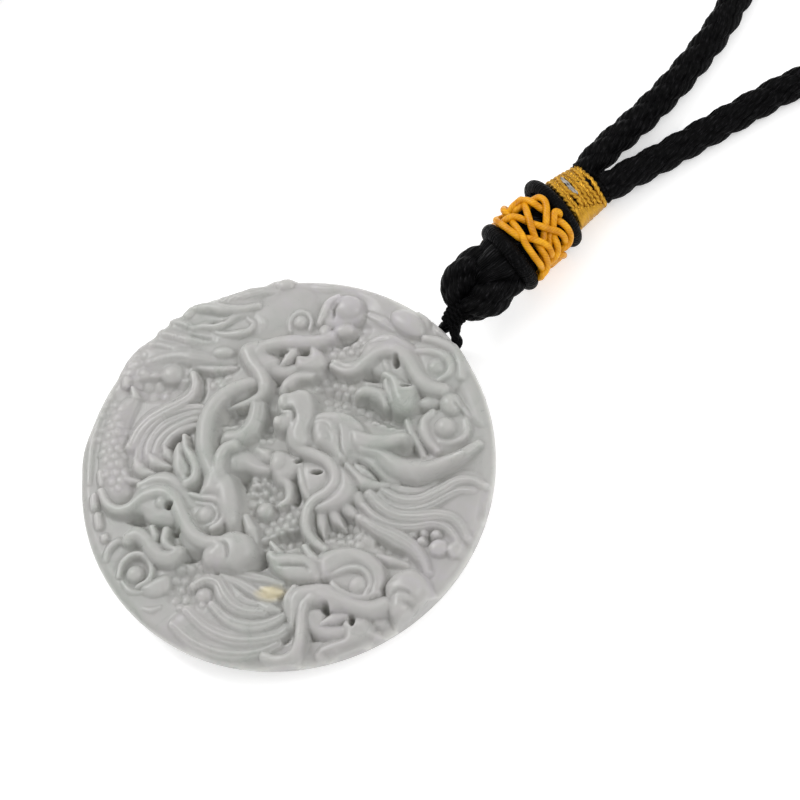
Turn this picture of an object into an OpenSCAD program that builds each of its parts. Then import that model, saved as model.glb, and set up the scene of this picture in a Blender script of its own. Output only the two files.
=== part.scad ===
// A round carved stone pendant on a loop of cord, with the cord's knots and wraps.
// Millimetres. The stone lies on its back, its centre is the origin, and +Z is up out of its carved face.

/* [Stone disc] */
// Diameter of the disc
disc_diameter = 55.6; // [40:0.1:80]
// Height of the plain face over the back, at the centre
face_height = 6.4; // [4:0.1:10]
// Height of the plain face near the rim
rim_height = 6.0; // [4:0.1:10]
// Rounding between the face and the side wall
rim_round = 1.4; // [0.5:0.1:2]
// Squares of the carved surface from side to side
surface_squares = 62; // [20:2:66]

/* [Drilled tunnel] */
// Diameter of the two drilled holes that meet inside the rim
tunnel_diameter = 1.9; // [1:0.1:3]
// Depth at which they meet, in from the rim
tunnel_depth = 5.4; // [4:0.1:8]
// Direction of the tunnel from the centre, in degrees from +X
tunnel_heading = 38.3; // [0:0.1:90]
// Distance between the two mouths
tunnel_spread = 3.1; // [2.4:0.1:6]

/* [Cords] */
// Diameter of the thin hanging cord
loop_diameter = 1.2; // [0.8:0.1:2]
// Diameter of the neck cord
neck_diameter = 3.8; // [2:0.1:6]
// Radius of the small cinch knot
cinch_radius = 1.25; // [0.8:0.05:2]

/* [Wraps] */
// Outer radius of the collar next to the stone
lower_collar_radius = 5.15; // [4:0.05:7]
// Outer radius of the other collar
upper_collar_radius = 5.1; // [4:0.05:7]
// Length of each collar along the core
collar_length = 2.0; // [1:0.1:4]
// Outer radius of the lattice
lattice_radius = 4.95; // [4:0.05:7]
// Thickness of the lattice
lattice_thickness = 0.75; // [0.4:0.05:1.5]
// Windows round the lattice
lattice_windows = 8; // [4:1:12]
// Thickness of the gold wrap
gold_thickness = 0.65; // [0.3:0.05:1.5]
// Space left between pieces that touch
gap = 0.1; // [0.05:0.01:0.3]

/* [Hidden] */

disc_radius = disc_diameter / 2;
// The carving's places were read looking down at a slant on a plane at this height
read_height = 7;
slant = [0.19, -0.47];
// No ridge is narrower than this, so that the squares can carry it
least_half_width = 0.6;
// How far a ridge's sides reach, in half widths, and how steep they fall
skirt = 1.45;
steepness = 2.6;

// Ridges of the dragon in the middle: name, rises and half widths at the start, middle and end, places
centre_dragon = [
    ["whisker", [2.6, 2.2, 1.5], [0.7, 0.72, 0.5], [[1.2, 6.4], [0.95, 5], [1.2, 3.6], [2.4, 2.3],
        [4.2, 1.3], [5.6, 0.2], [6.4, -1.2], [6.4, -2.7], [5.4, -4], [3.7, -4.9], [2.7, -6.2], [2.4, -7.9],
        [2.7, -9.5], [3.7, -11], [4.8, -12]]],
    ["bridge", [2.3, 1.9, 1.6], [1.2, 0.9, 0.8], [[3.1, 7.4], [2.7, 5.6], [2.7, 3.9], [3.7, 2.6]]],
    ["lip", [2.9, 2.7, 2.5], [0.6, 0.7, 0.8], [[-0.2, 9.9], [-0.1, 8.9], [0.6, 8], [0.7, 7], [0.2, 6.3]]],
    ["brow", [1.9, 2.2, 1.9], [0.5, 0.8, 0.8], [[3.4, 6.2], [4.9, 6.7], [6.8, 6.5], [8.4, 5.8], [9.6, 4.5],
        [10.2, 3.2]]],
    ["horn short", [2.2, 2.4, 2.2], [1, 0.85, 0.8], [[9.6, 3.2], [11.6, 2.5], [13.6, 2.1], [15.5, 2.4]]],
    ["horn long", [1.9, 2.5, 2], [1.1, 1.45, 0.55], [[9.4, 1.8], [11.4, 1.2], [13.2, -0.3], [15.2, -1.7],
        [17.6, -2.3], [20.2, -2.1], [22.6, -1.3], [24.4, -0.4], [25.6, 0.3]]],
    ["ear top", [1.6, 1.9, 1], [0.5, 0.6, 0.3], [[8.7, 0.7], [10.2, 0.3], [11.6, -0.7], [12.6, -2],
        [13.6, -3.2], [15, -3.9]]],
    ["ear low", [1.6, 1.7, 1], [0.6, 0.8, 0.3], [[8.1, -0.8], [9.2, -2.2], [10.4, -3.3], [11.9, -3.9],
        [13.6, -4.2]]],
    ["ear leaf", [1.1, 1.5, 1], [0.3, 0.7, 0.3], [[9.4, -0.9], [10.6, -1.9], [11.7, -3.1]]],
    ["tongue", [1.7, 1.5, 1.1], [0.9, 0.6, 0.3], [[-1.2, 0.6], [-0.7, -1.2], [0.2, -2.4], [0.4, -3.7],
        [0.1, -4.7], [-0.8, -5.2]]],
];

// Ridges of manes that run out to the right: name, rises and half widths at the start, middle and end, places
right_mane = [
    ["spike 1", [1.2, 1.1, 0.6], [0.8, 0.6, 0.15], [[9.3, -5.2], [9.9, -6.2], [10.9, -7.4]]],
    ["spike 2", [1.2, 1.1, 0.6], [0.8, 0.6, 0.15], [[7.9, -6.6], [8.6, -7.4], [9.7, -8.5]]],
    ["spike 3", [1.1, 1, 0.5], [0.7, 0.6, 0.15], [[6.2, -7.2], [6.6, -8.2], [7.5, -9.5]]],
    ["spike 4", [1, 0.9, 0.4], [0.7, 0.6, 0.15], [[4.6, -7.2], [4.6, -8.6], [4.9, -10.4]]],
    ["mane r1", [0.9, 1.2, 0.6], [0.4, 0.75, 0.4], [[12.8, -4.7], [15, -6.2], [17.6, -6.6], [20.2, -5.7],
        [22.6, -4.6], [24.6, -4.7], [26, -5.6]]],
    ["mane r2", [0.9, 1.2, 0.5], [0.4, 0.8, 0.4], [[12.2, -5.3], [13.7, -6.9], [16, -7.8], [18.6, -7.6],
        [20.8, -6.7], [22.8, -6], [24.8, -6.3]]],
    ["mane r3", [1.3, 1.4, 0.4], [0.5, 0.85, 0.4], [[11, -5], [12.6, -7], [14.6, -8.4], [17.2, -8.9],
        [19.8, -9], [21.7, -9.6], [22.9, -11], [23.6, -12.6]]],
    ["mane r4", [1.2, 1.2, 0.3], [0.4, 0.7, 0.4], [[10.2, -6.6], [11.8, -8.4], [14, -9.7], [16.8, -10.2],
        [19.2, -10.1], [20.9, -10.8], [22, -12.2], [22.7, -13.8]]],
    ["mane r5", [1.3, 1.5, 0.6], [0.5, 1.05, 0.5], [[9.6, -8.2], [11.8, -9.9], [14.2, -11.4], [16.2, -13],
        [17.6, -15], [18.3, -16.9]]],
    ["leaf", [0.6, 0.8, 0.5], [0.3, 0.75, 0.4], [[11.9, -13.9], [13.5, -14.7], [15.6, -15.6]]],
];

// Ridges of the dragon on the left: name, rises and half widths at the start, middle and end, places
left_dragon = [
    ["horn", [1.4, 2.4, 2], [0.8, 1.15, 1.1], [[-3.8, 13], [-5.6, 12.8], [-7.7, 12.1], [-9.5, 10.6],
        [-10.6, 8.6], [-11, 6.4], [-11, 4.2], [-10.5, 2], [-9.6, 0], [-8.8, -1.6]]],
    ["prong", [2.2, 2.5, 2.3], [1, 0.8, 0.75], [[-8.9, -0.8], [-9.1, 1], [-8.9, 2.6], [-8.2, 3.8],
        [-7, 4.2]]],
    ["ear rim", [1.6, 2.1, 2], [0.3, 0.55, 0.6], [[-13.7, 6.2], [-13.5, 4.5], [-12.7, 3], [-12.2, 1.4],
        [-12.5, 0], [-13.5, -0.6]]],
    ["ear leaf", [1.2, 1.7, 1.7], [0.3, 0.75, 0.5], [[-14.4, 5], [-14.6, 3.2], [-14.4, 1.4], [-13.7, 0]]],
    ["whisker", [1.4, 2.3, 2.6], [0.45, 0.95, 0.9], [[-25.2, -0.4], [-24.4, -2.2], [-22.9, -3.3],
        [-21.2, -3.1], [-19.6, -1.9], [-17.9, -1.3], [-16.3, -1.5], [-15.1, -2.7], [-14.3, -4.6],
        [-13.5, -6.4], [-12.4, -8.1], [-10.8, -9.2], [-9.2, -9.4]]],
    ["brow", [1.6, 1.9, 1.4], [0.5, 0.8, 0.6], [[-19.8, -0.2], [-18.2, 0.4], [-16.6, 0.4], [-15.2, -0.2],
        [-13.9, -1.8], [-12.8, -3.8]]],
    ["jaw", [1.5, 1.7, 1.5], [0.7, 1, 0.9], [[-21.5, -7.7], [-20.3, -7.1], [-19.1, -7.9], [-18.2, -9.3],
        [-17.1, -10.6], [-15.7, -11], [-14.8, -10.2]]],
    ["cheek", [1.2, 1.5, 1.2], [0.5, 0.8, 0.5], [[-19.4, -3.6], [-18.2, -4.8], [-16.8, -5.6], [-15.6, -6]]],
    ["ruff", [1.1, 1.4, 0.9], [0.5, 0.7, 0.4], [[-5.6, -6.4], [-5, -7.8], [-4.4, -9.4], [-4.2, -10.6]]],
    ["body", [0.3, 0.6, 0.5], [1.4, 1.9, 1.4], [[-20.6, 12.6], [-22.6, 10.4], [-23.6, 7.4], [-23.9, 4],
        [-23.6, 1], [-22.6, -1.6]]],
];

// Ridges of strands between the heads: name, rises and half widths at the start, middle and end, places
middle_strands = [
    ["mane m1", [1.5, 1.5, 1.2], [0.9, 1.15, 0.8], [[-3.7, 9.4], [-4, 7.8], [-4.8, 6.3], [-6.2, 5.2],
        [-7.9, 4.9]]],
    ["mane m2", [0.5, 0.9, 0.7], [0.9, 1.35, 0.6], [[-7.4, 2.4], [-5.9, 2.2], [-4.6, 1.2], [-3.2, 0.2],
        [-1.8, -0.2]]],
    ["mane m3", [0.7, 1, 0.8], [0.5, 0.8, 0.5], [[-3.9, 2.8], [-2.8, 2], [-1.8, 1.2]]],
    ["strand", [1.9, 2.2, 1.2], [0.9, 0.68, 0.35], [[-5, 17.6], [-4.4, 16], [-3.5, 14.6], [-2.9, 13.2],
        [-2.8, 11.9], [-3.4, 10.8], [-4.8, 10.1], [-6.6, 9.7]]],
];

// Ridges of the dragon at the bottom: name, rises and half widths at the start, middle and end, places
bottom_dragon = [
    ["ear top", [1.7, 1.9, 1.7], [0.5, 0.75, 0.6], [[-2.3, -12], [-1.6, -12.8], [0.4, -13], [2.2, -13.4],
        [3.4, -14.4], [3.7, -15.7]]],
    ["ear low", [1.2, 1.6, 1.5], [0.4, 0.85, 0.5], [[-2, -13.4], [-0.6, -14.6], [1.2, -15.3],
        [3.2, -15.9]]],
    ["brow", [1.5, 1.9, 1.8], [0.6, 1, 0.7], [[4.6, -13.2], [6.4, -13], [8.4, -13.2], [10.2, -14],
        [11.5, -15.5], [11.9, -17.2], [11.4, -18.6]]],
    ["bridge", [2, 2.1, 2.3], [0.8, 1, 1.1], [[2.9, -18.6], [4.6, -18.5], [6.6, -19.1], [8.6, -20.3],
        [10.7, -20.9], [12.8, -20.6]]],
    ["whisker", [2, 2, 0.9], [0.7, 0.62, 0.6], [[3.2, -18.6], [2.1, -19.3], [1.6, -20.8], [1.5, -22.6],
        [1.2, -24.4], [0.5, -25.9], [-0.9, -26.6], [-2.4, -26.5], [-3.4, -26]]],
    ["cheek", [1.4, 1.4, 1.2], [0.6, 0.8, 0.7], [[1, -17.4], [0.8, -19], [0.7, -20.8], [0.4, -22.2]]],
    ["tooth b1", [1.4, 1.5, 1.2], [0.2, 0.65, 0.5], [[4.3, -22.4], [5.8, -21.8], [7.4, -21.7]]],
    ["tooth b2", [1.3, 1.5, 0.9], [0.5, 1.1, 0.7], [[7.6, -22.9], [9.2, -22.9], [10.4, -24], [11.2, -25]]],
    ["throat", [1.1, 1.2, 1], [0.6, 0.9, 0.9], [[2.8, -21], [3.2, -22.6], [5, -23.6], [7.2, -23.8]]],
    ["jaw", [0.6, 0.9, 0.5], [0.6, 1, 0.8], [[3.9, -26.8], [4.6, -25.9], [6.6, -25.7], [9, -26]]],
    ["tip b1", [1, 1.2, 0.9], [0.3, 0.75, 0.4], [[-3.6, -16.6], [-2.3, -17.3], [-1, -17.6]]],
    ["tip b2", [1, 1.2, 0.9], [0.3, 0.75, 0.4], [[-3.8, -18.8], [-2.4, -19.6], [-1.3, -20]]],
];

// Ridges of manes at the bottom left: name, rises and half widths at the start, middle and end, places
bottom_mane = [
    ["mane b1", [0.7, 0.8, 0.5], [0.3, 0.6, 0.3], [[-9.4, -13.5], [-6.8, -14.2], [-4.4, -15], [-2.4, -15.7],
        [-0.8, -16.4]]],
    ["mane b2", [1, 1.1, 0.8], [0.4, 0.7, 0.5], [[-8.8, -14.4], [-6.8, -15.4], [-5, -16.7], [-3.4, -17.9],
        [-1.8, -18.5]]],
    ["mane b3", [1.1, 1.5, 1.1], [0.5, 0.95, 0.6], [[-12.6, -15.2], [-11, -14.5], [-9.4, -15.1],
        [-8.6, -16.7], [-7.4, -18.4], [-5.6, -19.5], [-3.4, -19.9]]],
    ["mane b4", [1, 1.3, 1], [0.4, 0.6, 0.4], [[-7.9, -15.4], [-7, -16.9], [-5.8, -18.1], [-4.2, -18.8]]],
    ["mane b5", [0.9, 1.1, 0.9], [0.5, 1, 0.5], [[-10.2, -18.2], [-8.2, -20.4], [-6, -21.6], [-3.8, -21.8],
        [-2, -21.4], [-0.7, -20.8]]],
    ["mane b6", [0.6, 0.8, 0.6], [0.6, 1.1, 0.5], [[-13.6, -18.6], [-11.4, -21], [-8.8, -22.7], [-6, -23.5],
        [-3.2, -23.6], [-1.2, -23.2], [-0.2, -22.4]]],
    ["mane b7", [0.3, 0.5, 0.3], [0.6, 1.1, 0.6], [[-15.4, -20.4], [-13, -22.8], [-10, -24.5], [-7, -25.3],
        [-4, -25.3], [-1.6, -24.6]]],
];

// Ridges of the dragon at the top: name, rises and half widths at the start, middle and end, places
top_dragon = [
    ["lip", [1.6, 1.8, 1.5], [0.7, 1, 0.8], [[-3.9, 16.6], [-2.9, 17.8], [-1.2, 18.3], [0.8, 18.3],
        [2.8, 18], [4.8, 17.8], [6.4, 18.4]]],
    ["gum", [1.3, 1.4, 1.1], [0.9, 1, 0.7], [[-3.4, 16.6], [-2.3, 15.6], [-1.2, 14.4], [0.3, 13.9],
        [1.7, 14.2]]],
    ["tooth t1", [1.5, 1.5, 1.1], [0.65, 0.6, 0.3], [[1.3, 16.6], [0.6, 15.8], [-0.2, 14.9]]],
    ["tooth t2", [1.4, 1.5, 1.3], [0.35, 0.6, 0.5], [[2.2, 15.6], [3.4, 15.1], [4.6, 15]]],
    ["tongue", [1.3, 1.4, 1], [0.6, 0.75, 0.8], [[-0.1, 11.2], [0.3, 12.1], [1.5, 12.8], [3.1, 13.1],
        [4.6, 13.4]]],
    ["mane t2", [0.5, 0.8, 0.4], [0.5, 0.9, 0.5], [[-3.6, 23.4], [-6.4, 23.9], [-9.2, 23.6], [-12, 23.4],
        [-14.8, 22.6]]],
    ["mane t3", [0.6, 0.8, 0.4], [0.5, 0.9, 0.5], [[-3.4, 21.6], [-6.2, 22], [-9, 21.4], [-11.6, 21.4],
        [-14.4, 21.2]]],
    ["mane t4", [0.7, 1, 0.5], [0.5, 1, 0.6], [[-5.4, 19.9], [-8.2, 20], [-11, 19.6], [-13.6, 20],
        [-16.4, 20.6], [-18.4, 20.2]]],
    ["mane t5", [0.7, 1, 0.6], [0.5, 0.95, 0.6], [[-6.6, 18.1], [-9.4, 18.4], [-12.2, 18.2], [-15, 18.4],
        [-17.8, 18.2]]],
    ["mane t6", [0.7, 1, 0.6], [0.5, 0.85, 0.5], [[-6.8, 16.4], [-9.4, 16.8], [-12.2, 16.9], [-14.8, 17.3],
        [-17.2, 17]]],
    ["curl", [1, 1.5, 1.2], [0.4, 0.85, 0.8], [[-12.5, 15.2], [-12.2, 13.6], [-12.8, 12], [-14.4, 11],
        [-16.4, 10.2], [-18.4, 9.2], [-20, 7.6], [-21, 5.6]]],
];

// Ridges of curls on the left side: name, rises and half widths at the start, middle and end, places
left_side = [
    ["fan 1", [0.9, 1.3, 0.9], [0.4, 0.65, 0.5], [[-12.2, 10.3], [-14.6, 10.1], [-17, 9.2], [-18.9, 7.6],
        [-19.9, 5.6], [-20.1, 3.6]]],
    ["hook 1", [1, 1.3, 0.9], [0.4, 0.8, 0.3], [[-20.4, 3.6], [-19.9, 2.3], [-18.7, 1.4]]],
    ["hook 2", [0.9, 1.2, 0.8], [0.4, 0.8, 0.4], [[-18.5, 3.8], [-17.9, 2.9], [-16.6, 2.4]]],
    ["hook 3", [0.9, 1.1, 0.8], [0.2, 0.6, 0.4], [[-16.5, 4.9], [-16.2, 4], [-15.5, 3]]],
];

// Ridges of the dragon on the right: name, rises and half widths at the start, middle and end, places
right_dragon = [
    ["arch", [1.4, 2.1, 2], [0.4, 0.95, 0.9], [[6.6, 14], [8.2, 13], [9.8, 13.1], [11.2, 14.2],
        [12.8, 15.2], [14.6, 15.4], [16.2, 14.4], [17.2, 12.7], [18.1, 10.9], [19.4, 9.4], [21.2, 8.7]]],
    ["arch2", [0.9, 1.4, 1], [0.4, 0.6, 0.5], [[10.7, 15.6], [12.4, 16.8], [14.4, 17], [16.2, 16],
        [17.6, 14.4]]],
    ["brow", [0.7, 1.1, 0.8], [0.4, 0.6, 0.5], [[19.2, 16.4], [21.2, 15.6], [23, 14.2], [23.8, 12.2],
        [23.8, 10.2]]],
    ["curl", [0.8, 1.1, 0.9], [0.5, 0.8, 0.7], [[10, 9.2], [11.3, 9.5], [12.7, 8.6], [13.8, 7.3]]],
    ["knob tail", [1.2, 1, 0.4], [0.9, 0.8, 0.4], [[22.6, 6.6], [23.8, 5.4], [24.8, 4.2]]],
];

// Rounded parts, such as snouts, eyes and beads: rise, centre, radii, turn in degrees, drop at the edge
domes = [
    [2.9, [1.9, 8.6], [2.35, 2.5], 10, 1.7],
    [2.7, [-0.1, 6.5], [1.25, 1.25], 0, 1.2],
    [1.9, [8, 3], [2.8, 3.6], 20, 1],
    [2.2, [5, 3.6], [1.15, 1.15], 0, 0.9],
    [1.7, [6.9, -3.8], [2.5, 3.3], -18, 1.5],
    [1.5, [3.6, -2], [1.8, 2.7], 15, 1],
    [2, [-0.9, 0.9], [1.2, 1.5], -15, 1],
    [1.3, [0.8, -0.4], [1.9, 1.5], 0, 1],
    [0.3, [-2.9, -5.9], [1.1, 1.1], 0, 0.7],
    [2.4, [-8.3, -3.4], [2.1, 4.3], 8, 1.4],
    [1.9, [-10.9, -5.5], [1.2, 1.3], 0, 1],
    [2.9, [-6.8, -10.9], [2.5, 2.6], 0, 1.8],
    [2.7, [-9.9, -11.3], [1.5, 1.7], 0, 1.4],
    [1.5, [-17, -3.6], [1.9, 1.7], -20, 0.9],
    [1.8, [-16.8, -3], [0.75, 0.8], 0, 0.6],
    [1.6, [6.6, -14.6], [3.2, 1.8], -8, 0.9],
    [2, [9.2, -17.5], [1.25, 1.3], 0, 0.9],
    [2.9, [15.6, -18.9], [2.7, 2.9], 0, 1.8],
    [2.8, [14.5, -21.1], [1.5, 1.7], 0, 1.4],
    [1, [12, -23], [1.1, 0.9], 0, 0.7],
    [0.9, [-11.2, -16.9], [1.25, 1.2], 0, 1],
    [1.7, [8.3, 21.7], [2.8, 2.1], 5, 1.6],
    [1.2, [6.1, 19.5], [1.1, 1.2], 0, 0.8],
    [1.2, [8.3, 19.3], [1.5, 1], 0, 0.9],
    [0.9, [2.4, 20.9], [1.2, 1.2], 0, 1],
    [0.7, [-1.4, 21.6], [3, 2.4], 0, 0.8],
    [1.4, [4, 14.6], [2, 1.4], 0, 1],
    [0.9, [-15.5, 15.5], [1.35, 1.3], 0, 1],
    [1.9, [16.1, 7.7], [2, 2.1], 0, 1.4],
    [1, [15.4, 11.6], [1.6, 2.2], 25, 0.8],
    [1.4, [20.5, 12], [1.15, 1.2], 0, 0.8],
    [1.7, [22.2, 6.7], [1.5, 1.4], 0, 1.1],
    [1.3, [21.4, 3.2], [1.5, 1.45], 0, 1.3],
    [1.3, [17.2, 18.8], [1.9, 1.6], -20, 1.2],
    [0.6, [0.4, 26.8], [1.3, 0.9], 0, 0.6],
    [0.9, [-20.6, -12.8], [1.15, 1.15], 0, 0.9],
    [0.3, [-17.8, -15.2], [1.8, 1.3], 0, 0.3],
    [0.4, [20, -13.8], [1.2, 1.1], 0, 0.5],
    [0.3, [22, -14.2], [1, 1], 0, 0.4],
    [0.3, [10.8, -11.8], [1.1, 1], 0, 0.7],
];

// Hollows cut into the face: depth, centre, radii, turn in degrees
hollows = [
    [2.2, [-6.3, -1.6], [1.9, 2.6], 20],
    [1.4, [-6.9, 7.7], [2.6, 1.7], 0],
    [1.9, [1.4, -4.4], [1, 2.4], 8],
    [1.7, [0.4, -11.4], [3.4, 1.2], 5],
    [1.6, [3.6, -11.9], [1.6, 1.4], 0],
    [2, [-4, -14], [2.6, 1.4], 10],
    [1.6, [-12.8, -11.6], [2, 1.4], -10],
    [1.5, [-20, -5.6], [2.2, 1.2], -25],
    [2.2, [-0.6, 12.3], [1.7, 1.6], 30],
    [1.3, [8.2, 17.2], [2.2, 1.6], 0],
    [1.6, [12, 11.1], [2.6, 1], -20],
    [1.7, [11.6, 6.6], [3.2, 2.2], -25],
    [1.5, [14.6, 4.4], [2.6, 1.2], -25],
    [2, [18.6, 5.6], [2.8, 1.2], 0],
    [1.6, [17.2, 0.4], [3.6, 1.8], -5],
    [2, [18, -4.4], [3.4, 1.2], 5],
    [1.2, [-3, -6], [3.6, 4.6], 0],
    [0.9, [-1.8, 5.6], [2.2, 2], 0],
    [1.1, [7.4, 10.2], [3.6, 2.4], -15],
    [1.4, [7, -10], [3.2, 2], -15],
    [0.9, [13.4, -12.8], [3.4, 1.4], -40],
    [0.8, [18.2, -12.2], [2.6, 1.6], -15],
    [1.8, [12.9, -16.2], [1.2, 0.8], 0],
    [1.5, [4.6, -24.8], [3, 0.9], 0],
    [1.2, [-14.6, 5], [1.8, 2.4], 0],
    [0.8, [-9.4, 14.6], [3.4, 1.4], 5],
    [0.9, [-17, 12.8], [4.2, 1.8], -5],
    [0.9, [-11.6, 12.4], [1.2, 2.2], 0],
    [0.8, [-13.6, -16], [2.8, 2.6], 0],
    [0.9, [21.6, 3], [3.4, 2.8], 0],
    [0.8, [2.4, 20.8], [1.8, 1.6], 0],
    [1.2, [-1.6, -24.8], [2, 0.9], 0],
    [0.9, [-19.8, -12.2], [3, 2.8], 0],
    [0.6, [9.6, 18.2], [2.6, 1.6], 0],
    [1, [6.8, 8.4], [2.6, 1.6], -30],
];
all_ridges = concat(centre_dragon, right_mane, left_dragon, middle_strands, bottom_dragon, bottom_mane,
    top_dragon, left_side, right_dragon);
// Columns of the ridge tables
RISES = 1;
HALF_WIDTHS = 2;
PLACES = 3;

// Heights and radii of the side wall under the carved surface, from the top down
wall = [[3.2, 27.9], [1.4, 27.8], [0.45, 27.4], [-0.6, 26.4]];

// Points that the hanging cord runs through, from the knot to the tunnel and back
hanging_route = [[23.2, 20.1, 6.1], [22.3, 19.4, 5.6], [21.75, 18.8, 4.7], [21.2, 18.75, 3.95],
    [20.4, 17.75, 3.7], [19.6, 16.6, 3.6], [19.2, 16.0, 3.6], [19.4, 15.3, 3.6], [20.0, 15.0, 3.6],
    [20.7, 15.2, 3.6], [22.0, 15.75, 3.7], [22.95, 16.45, 3.95], [22.9, 17.5, 4.8], [23.2, 18.45, 5.6],
    [24.0, 19.5, 6.1]];
cinch = [23.6, 19.9, 6.1];

// The core's line, and its half width and half height at each point
core_line = [[29.2, 24.2, 7.9], [30.1, 25.3, 7.6], [32.3, 27.9, 6.8], [34.5, 30.5, 6.0], [36.5, 32.8, 5.3],
    [37.4, 33.6, 5.05], [38.3, 34.4, 4.8], [40.0, 35.8, 4.4], [41.9, 37.2, 4.0]];
core_half_widths = [3.6, 3.75, 4.0, 4.0, 3.75, 3.3, 3.2, 3.0, 2.7];
core_half_heights = [3.6, 3.75, 4.0, 4.0, 3.75, 2.9, 2.75, 2.4, 2.0];
// The two lobes' lines, with their half widths
left_lobe = [[29.0, 26.9, 7.5], [27.6, 25.4, 7.9], [26.5, 24.9, 8.0], [24.9, 24.9, 7.7], [23.5, 23.3, 7.2],
    [23.4, 21.6, 6.6]];
left_lobe_sizes = [1.7, 1.75, 2.2, 2.4, 2.1, 1.3];
right_lobe = [[31.8, 24.4, 7.5], [30.6, 22.9, 7.9], [30.0, 22.0, 7.7], [28.8, 21.3, 7.1], [27.1, 20.7, 6.7],
    [25.6, 20.1, 6.4]];
right_lobe_sizes = [1.7, 1.75, 2.1, 2.2, 1.9, 1.1];

// The collars' centres, and where the lattice starts and ends between them
lower_collar_at = [30.1, 25.3, 7.6];
upper_collar_at = [36.5, 32.8, 5.3];
knot_line = (upper_collar_at - lower_collar_at) / norm(upper_collar_at - lower_collar_at);
lattice_length = norm(upper_collar_at - lower_collar_at) - collar_length - 2 * gap;
// The gold wrap's line and sizes
gold_line = [[38.0, 34.1, 4.9], [40.0, 35.8, 4.4], [42.0, 37.3, 4.0]];
gold_half_widths = [4.1, 3.9, 3.6];
gold_half_heights = [3.7, 3.3, 2.9];

// Points that the neck cord runs through: out of view on one strand, round outside it, and back on the other
neck_route = [[41.3, 39.2, 4.1], [44.4, 43, 3.4], [50.3, 48.7, 2.1], [56.1, 54.6, 1.9], [61.5, 61.4, 1.9],
    [65.2, 69, 1.9], [63.6, 76.6, 1.9], [56.5, 82.1, 1.9], [43, 85, 1.9], [20, 86.5, 1.9], [-6, 87.2, 1.9],
    [-26, 87.3, 1.9], [-36.5, 87.2, 1.9], [-43, 85.5, 1.9], [-47.8, 80.8, 1.9], [-49.5, 74.3, 1.9],
    [-49.5, 64, 1.9], [-49.5, 44, 1.9], [-49.5, 14, 1.9], [-49.4, -12, 1.9], [-48, -32, 1.9],
    [-42, -46.5, 1.9], [-28, -53.6, 1.9], [-6, -55.2, 1.9], [36, -55.4, 1.9], [66, -52.5, 1.9],
    [77, -43, 1.9], [81.8, -28, 1.9], [82.4, -10, 1.9], [82.4, 10, 1.9], [82.4, 26, 1.9],
    [82.4, 36.6, 1.9], [82.3, 43, 1.9], [80.7, 47.9, 1.9], [76.5, 50.7, 1.9], [71.2, 50.4, 1.9],
    [65.6, 48.1, 1.9], [52.5, 41.6, 2.4], [47.6, 38.9, 3.3], [43.7, 36.6, 4]];

// The value that runs evenly through three, for a share t of the way
function through(three, t) =
    t < 0.5 ? three[0] + (three[1] - three[0]) * 2 * t : three[1] + (three[2] - three[1]) * (2 * t - 1);

function sum(values) = len(values) == 0 ? 0 : values * [for (v = values) 1];

// Height of the plain face
function plain_face(p) =
    let (
        r = norm(p),
        over = min(1, max(0, (r - disc_radius + rim_round) / rim_round)),
        dip = (face_height - rim_height) * pow(min(r / 25, 1), 2)
    )
    face_height - dip - rim_round * (1 - sqrt(1 - over * over));

// Where a place read at a slant is, when it stands at its own rise
function placed(p, rise) = p + slant * (plain_face(p) + rise - read_height);

// How far a rounded top has fallen at u half widths from its middle
function fall(u, drop, half_width) =
    drop * (1 - sqrt(max(0, 1 - u * u))) + max(0, u - 1) * half_width * steepness;

// A ridge as its middle, its reach and its stretches: two ends, their heights and their half widths
function ridge(row) =
    let (
        n = len(row[PLACES]) - 1,
        rises = [for (i = [0:n]) through(row[RISES], i / n)],
        widths = [for (i = [0:n]) max(least_half_width, through(row[HALF_WIDTHS], i / n))],
        at = [for (i = [0:n]) placed(row[PLACES][i], rises[i])],
        tops = [for (i = [0:n]) plain_face(at[i]) + rises[i]],
        middle = ([min([for (p = at) p[0]]), min([for (p = at) p[1]])]
            + [max([for (p = at) p[0]]), max([for (p = at) p[1]])]) / 2
    )
    [middle, max([for (p = at) norm(p - middle)]) + skirt * max(widths),
        [for (i = [0:n - 1]) [at[i], at[i + 1], tops[i], tops[i + 1], widths[i], widths[i + 1]]]];

ridges = [for (row = all_ridges) ridge(row)];

function ridge_height(p, s) =
    let (
        run = s[1] - s[0],
        t = min(1, max(0, (p - s[0]) * run / (run * run))),
        half_width = s[4] + (s[5] - s[4]) * t,
        u = norm(p - s[0] - t * run) / half_width
    )
    u > skirt ? 0 : s[2] + (s[3] - s[2]) * t - fall(u, 0.25 + 0.9 * half_width, half_width);

// Distance from a turned oval's middle, in its own radii
function oval(p, centre, radii, turn) =
    let (d = p - centre, x = d[0] * cos(turn) + d[1] * sin(turn), y = d[1] * cos(turn) - d[0] * sin(turn))
    norm([x / radii[0], y / radii[1]]);

function dome_height(p, d) =
    let (at = placed(d[1], d[0] - 0.4 * d[4]), u = oval(p, at, d[2], d[3]))
    u > skirt ? 0 : plain_face(at) + d[0] - fall(u, d[4], min(d[2]));

function hollow_depth(p, h) =
    let (u = min(1, oval(p, placed(h[1], -h[0]), h[2], h[3]) / 1.15))
    h[0] * pow(1 - u * u * u, 1.5);

function carved_height(p) =
    let (cuts = [for (h = hollows) if (norm(p - h[1]) < 1.2 * max(h[2]) + 1) hollow_depth(p, h)])
    max(concat(
        [plain_face(p) - sum(cuts)],
        [for (r = ridges) if (norm(p - r[0]) < r[1]) for (s = r[2]) ridge_height(p, s)],
        [for (d = domes) if (norm(p - d[1]) < 1.5 * max(d[2]) + 2) dome_height(p, d)]
    ));

// A square's point moved onto a disc, so that the squares keep an even size
function on_disc(u, v) =
    u == 0 && v == 0 ? [0, 0]
    : abs(u) > abs(v) ? u * [cos(45 * v / u), sin(45 * v / u)]
    : v * [sin(45 * u / v), cos(45 * u / v)];

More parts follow.
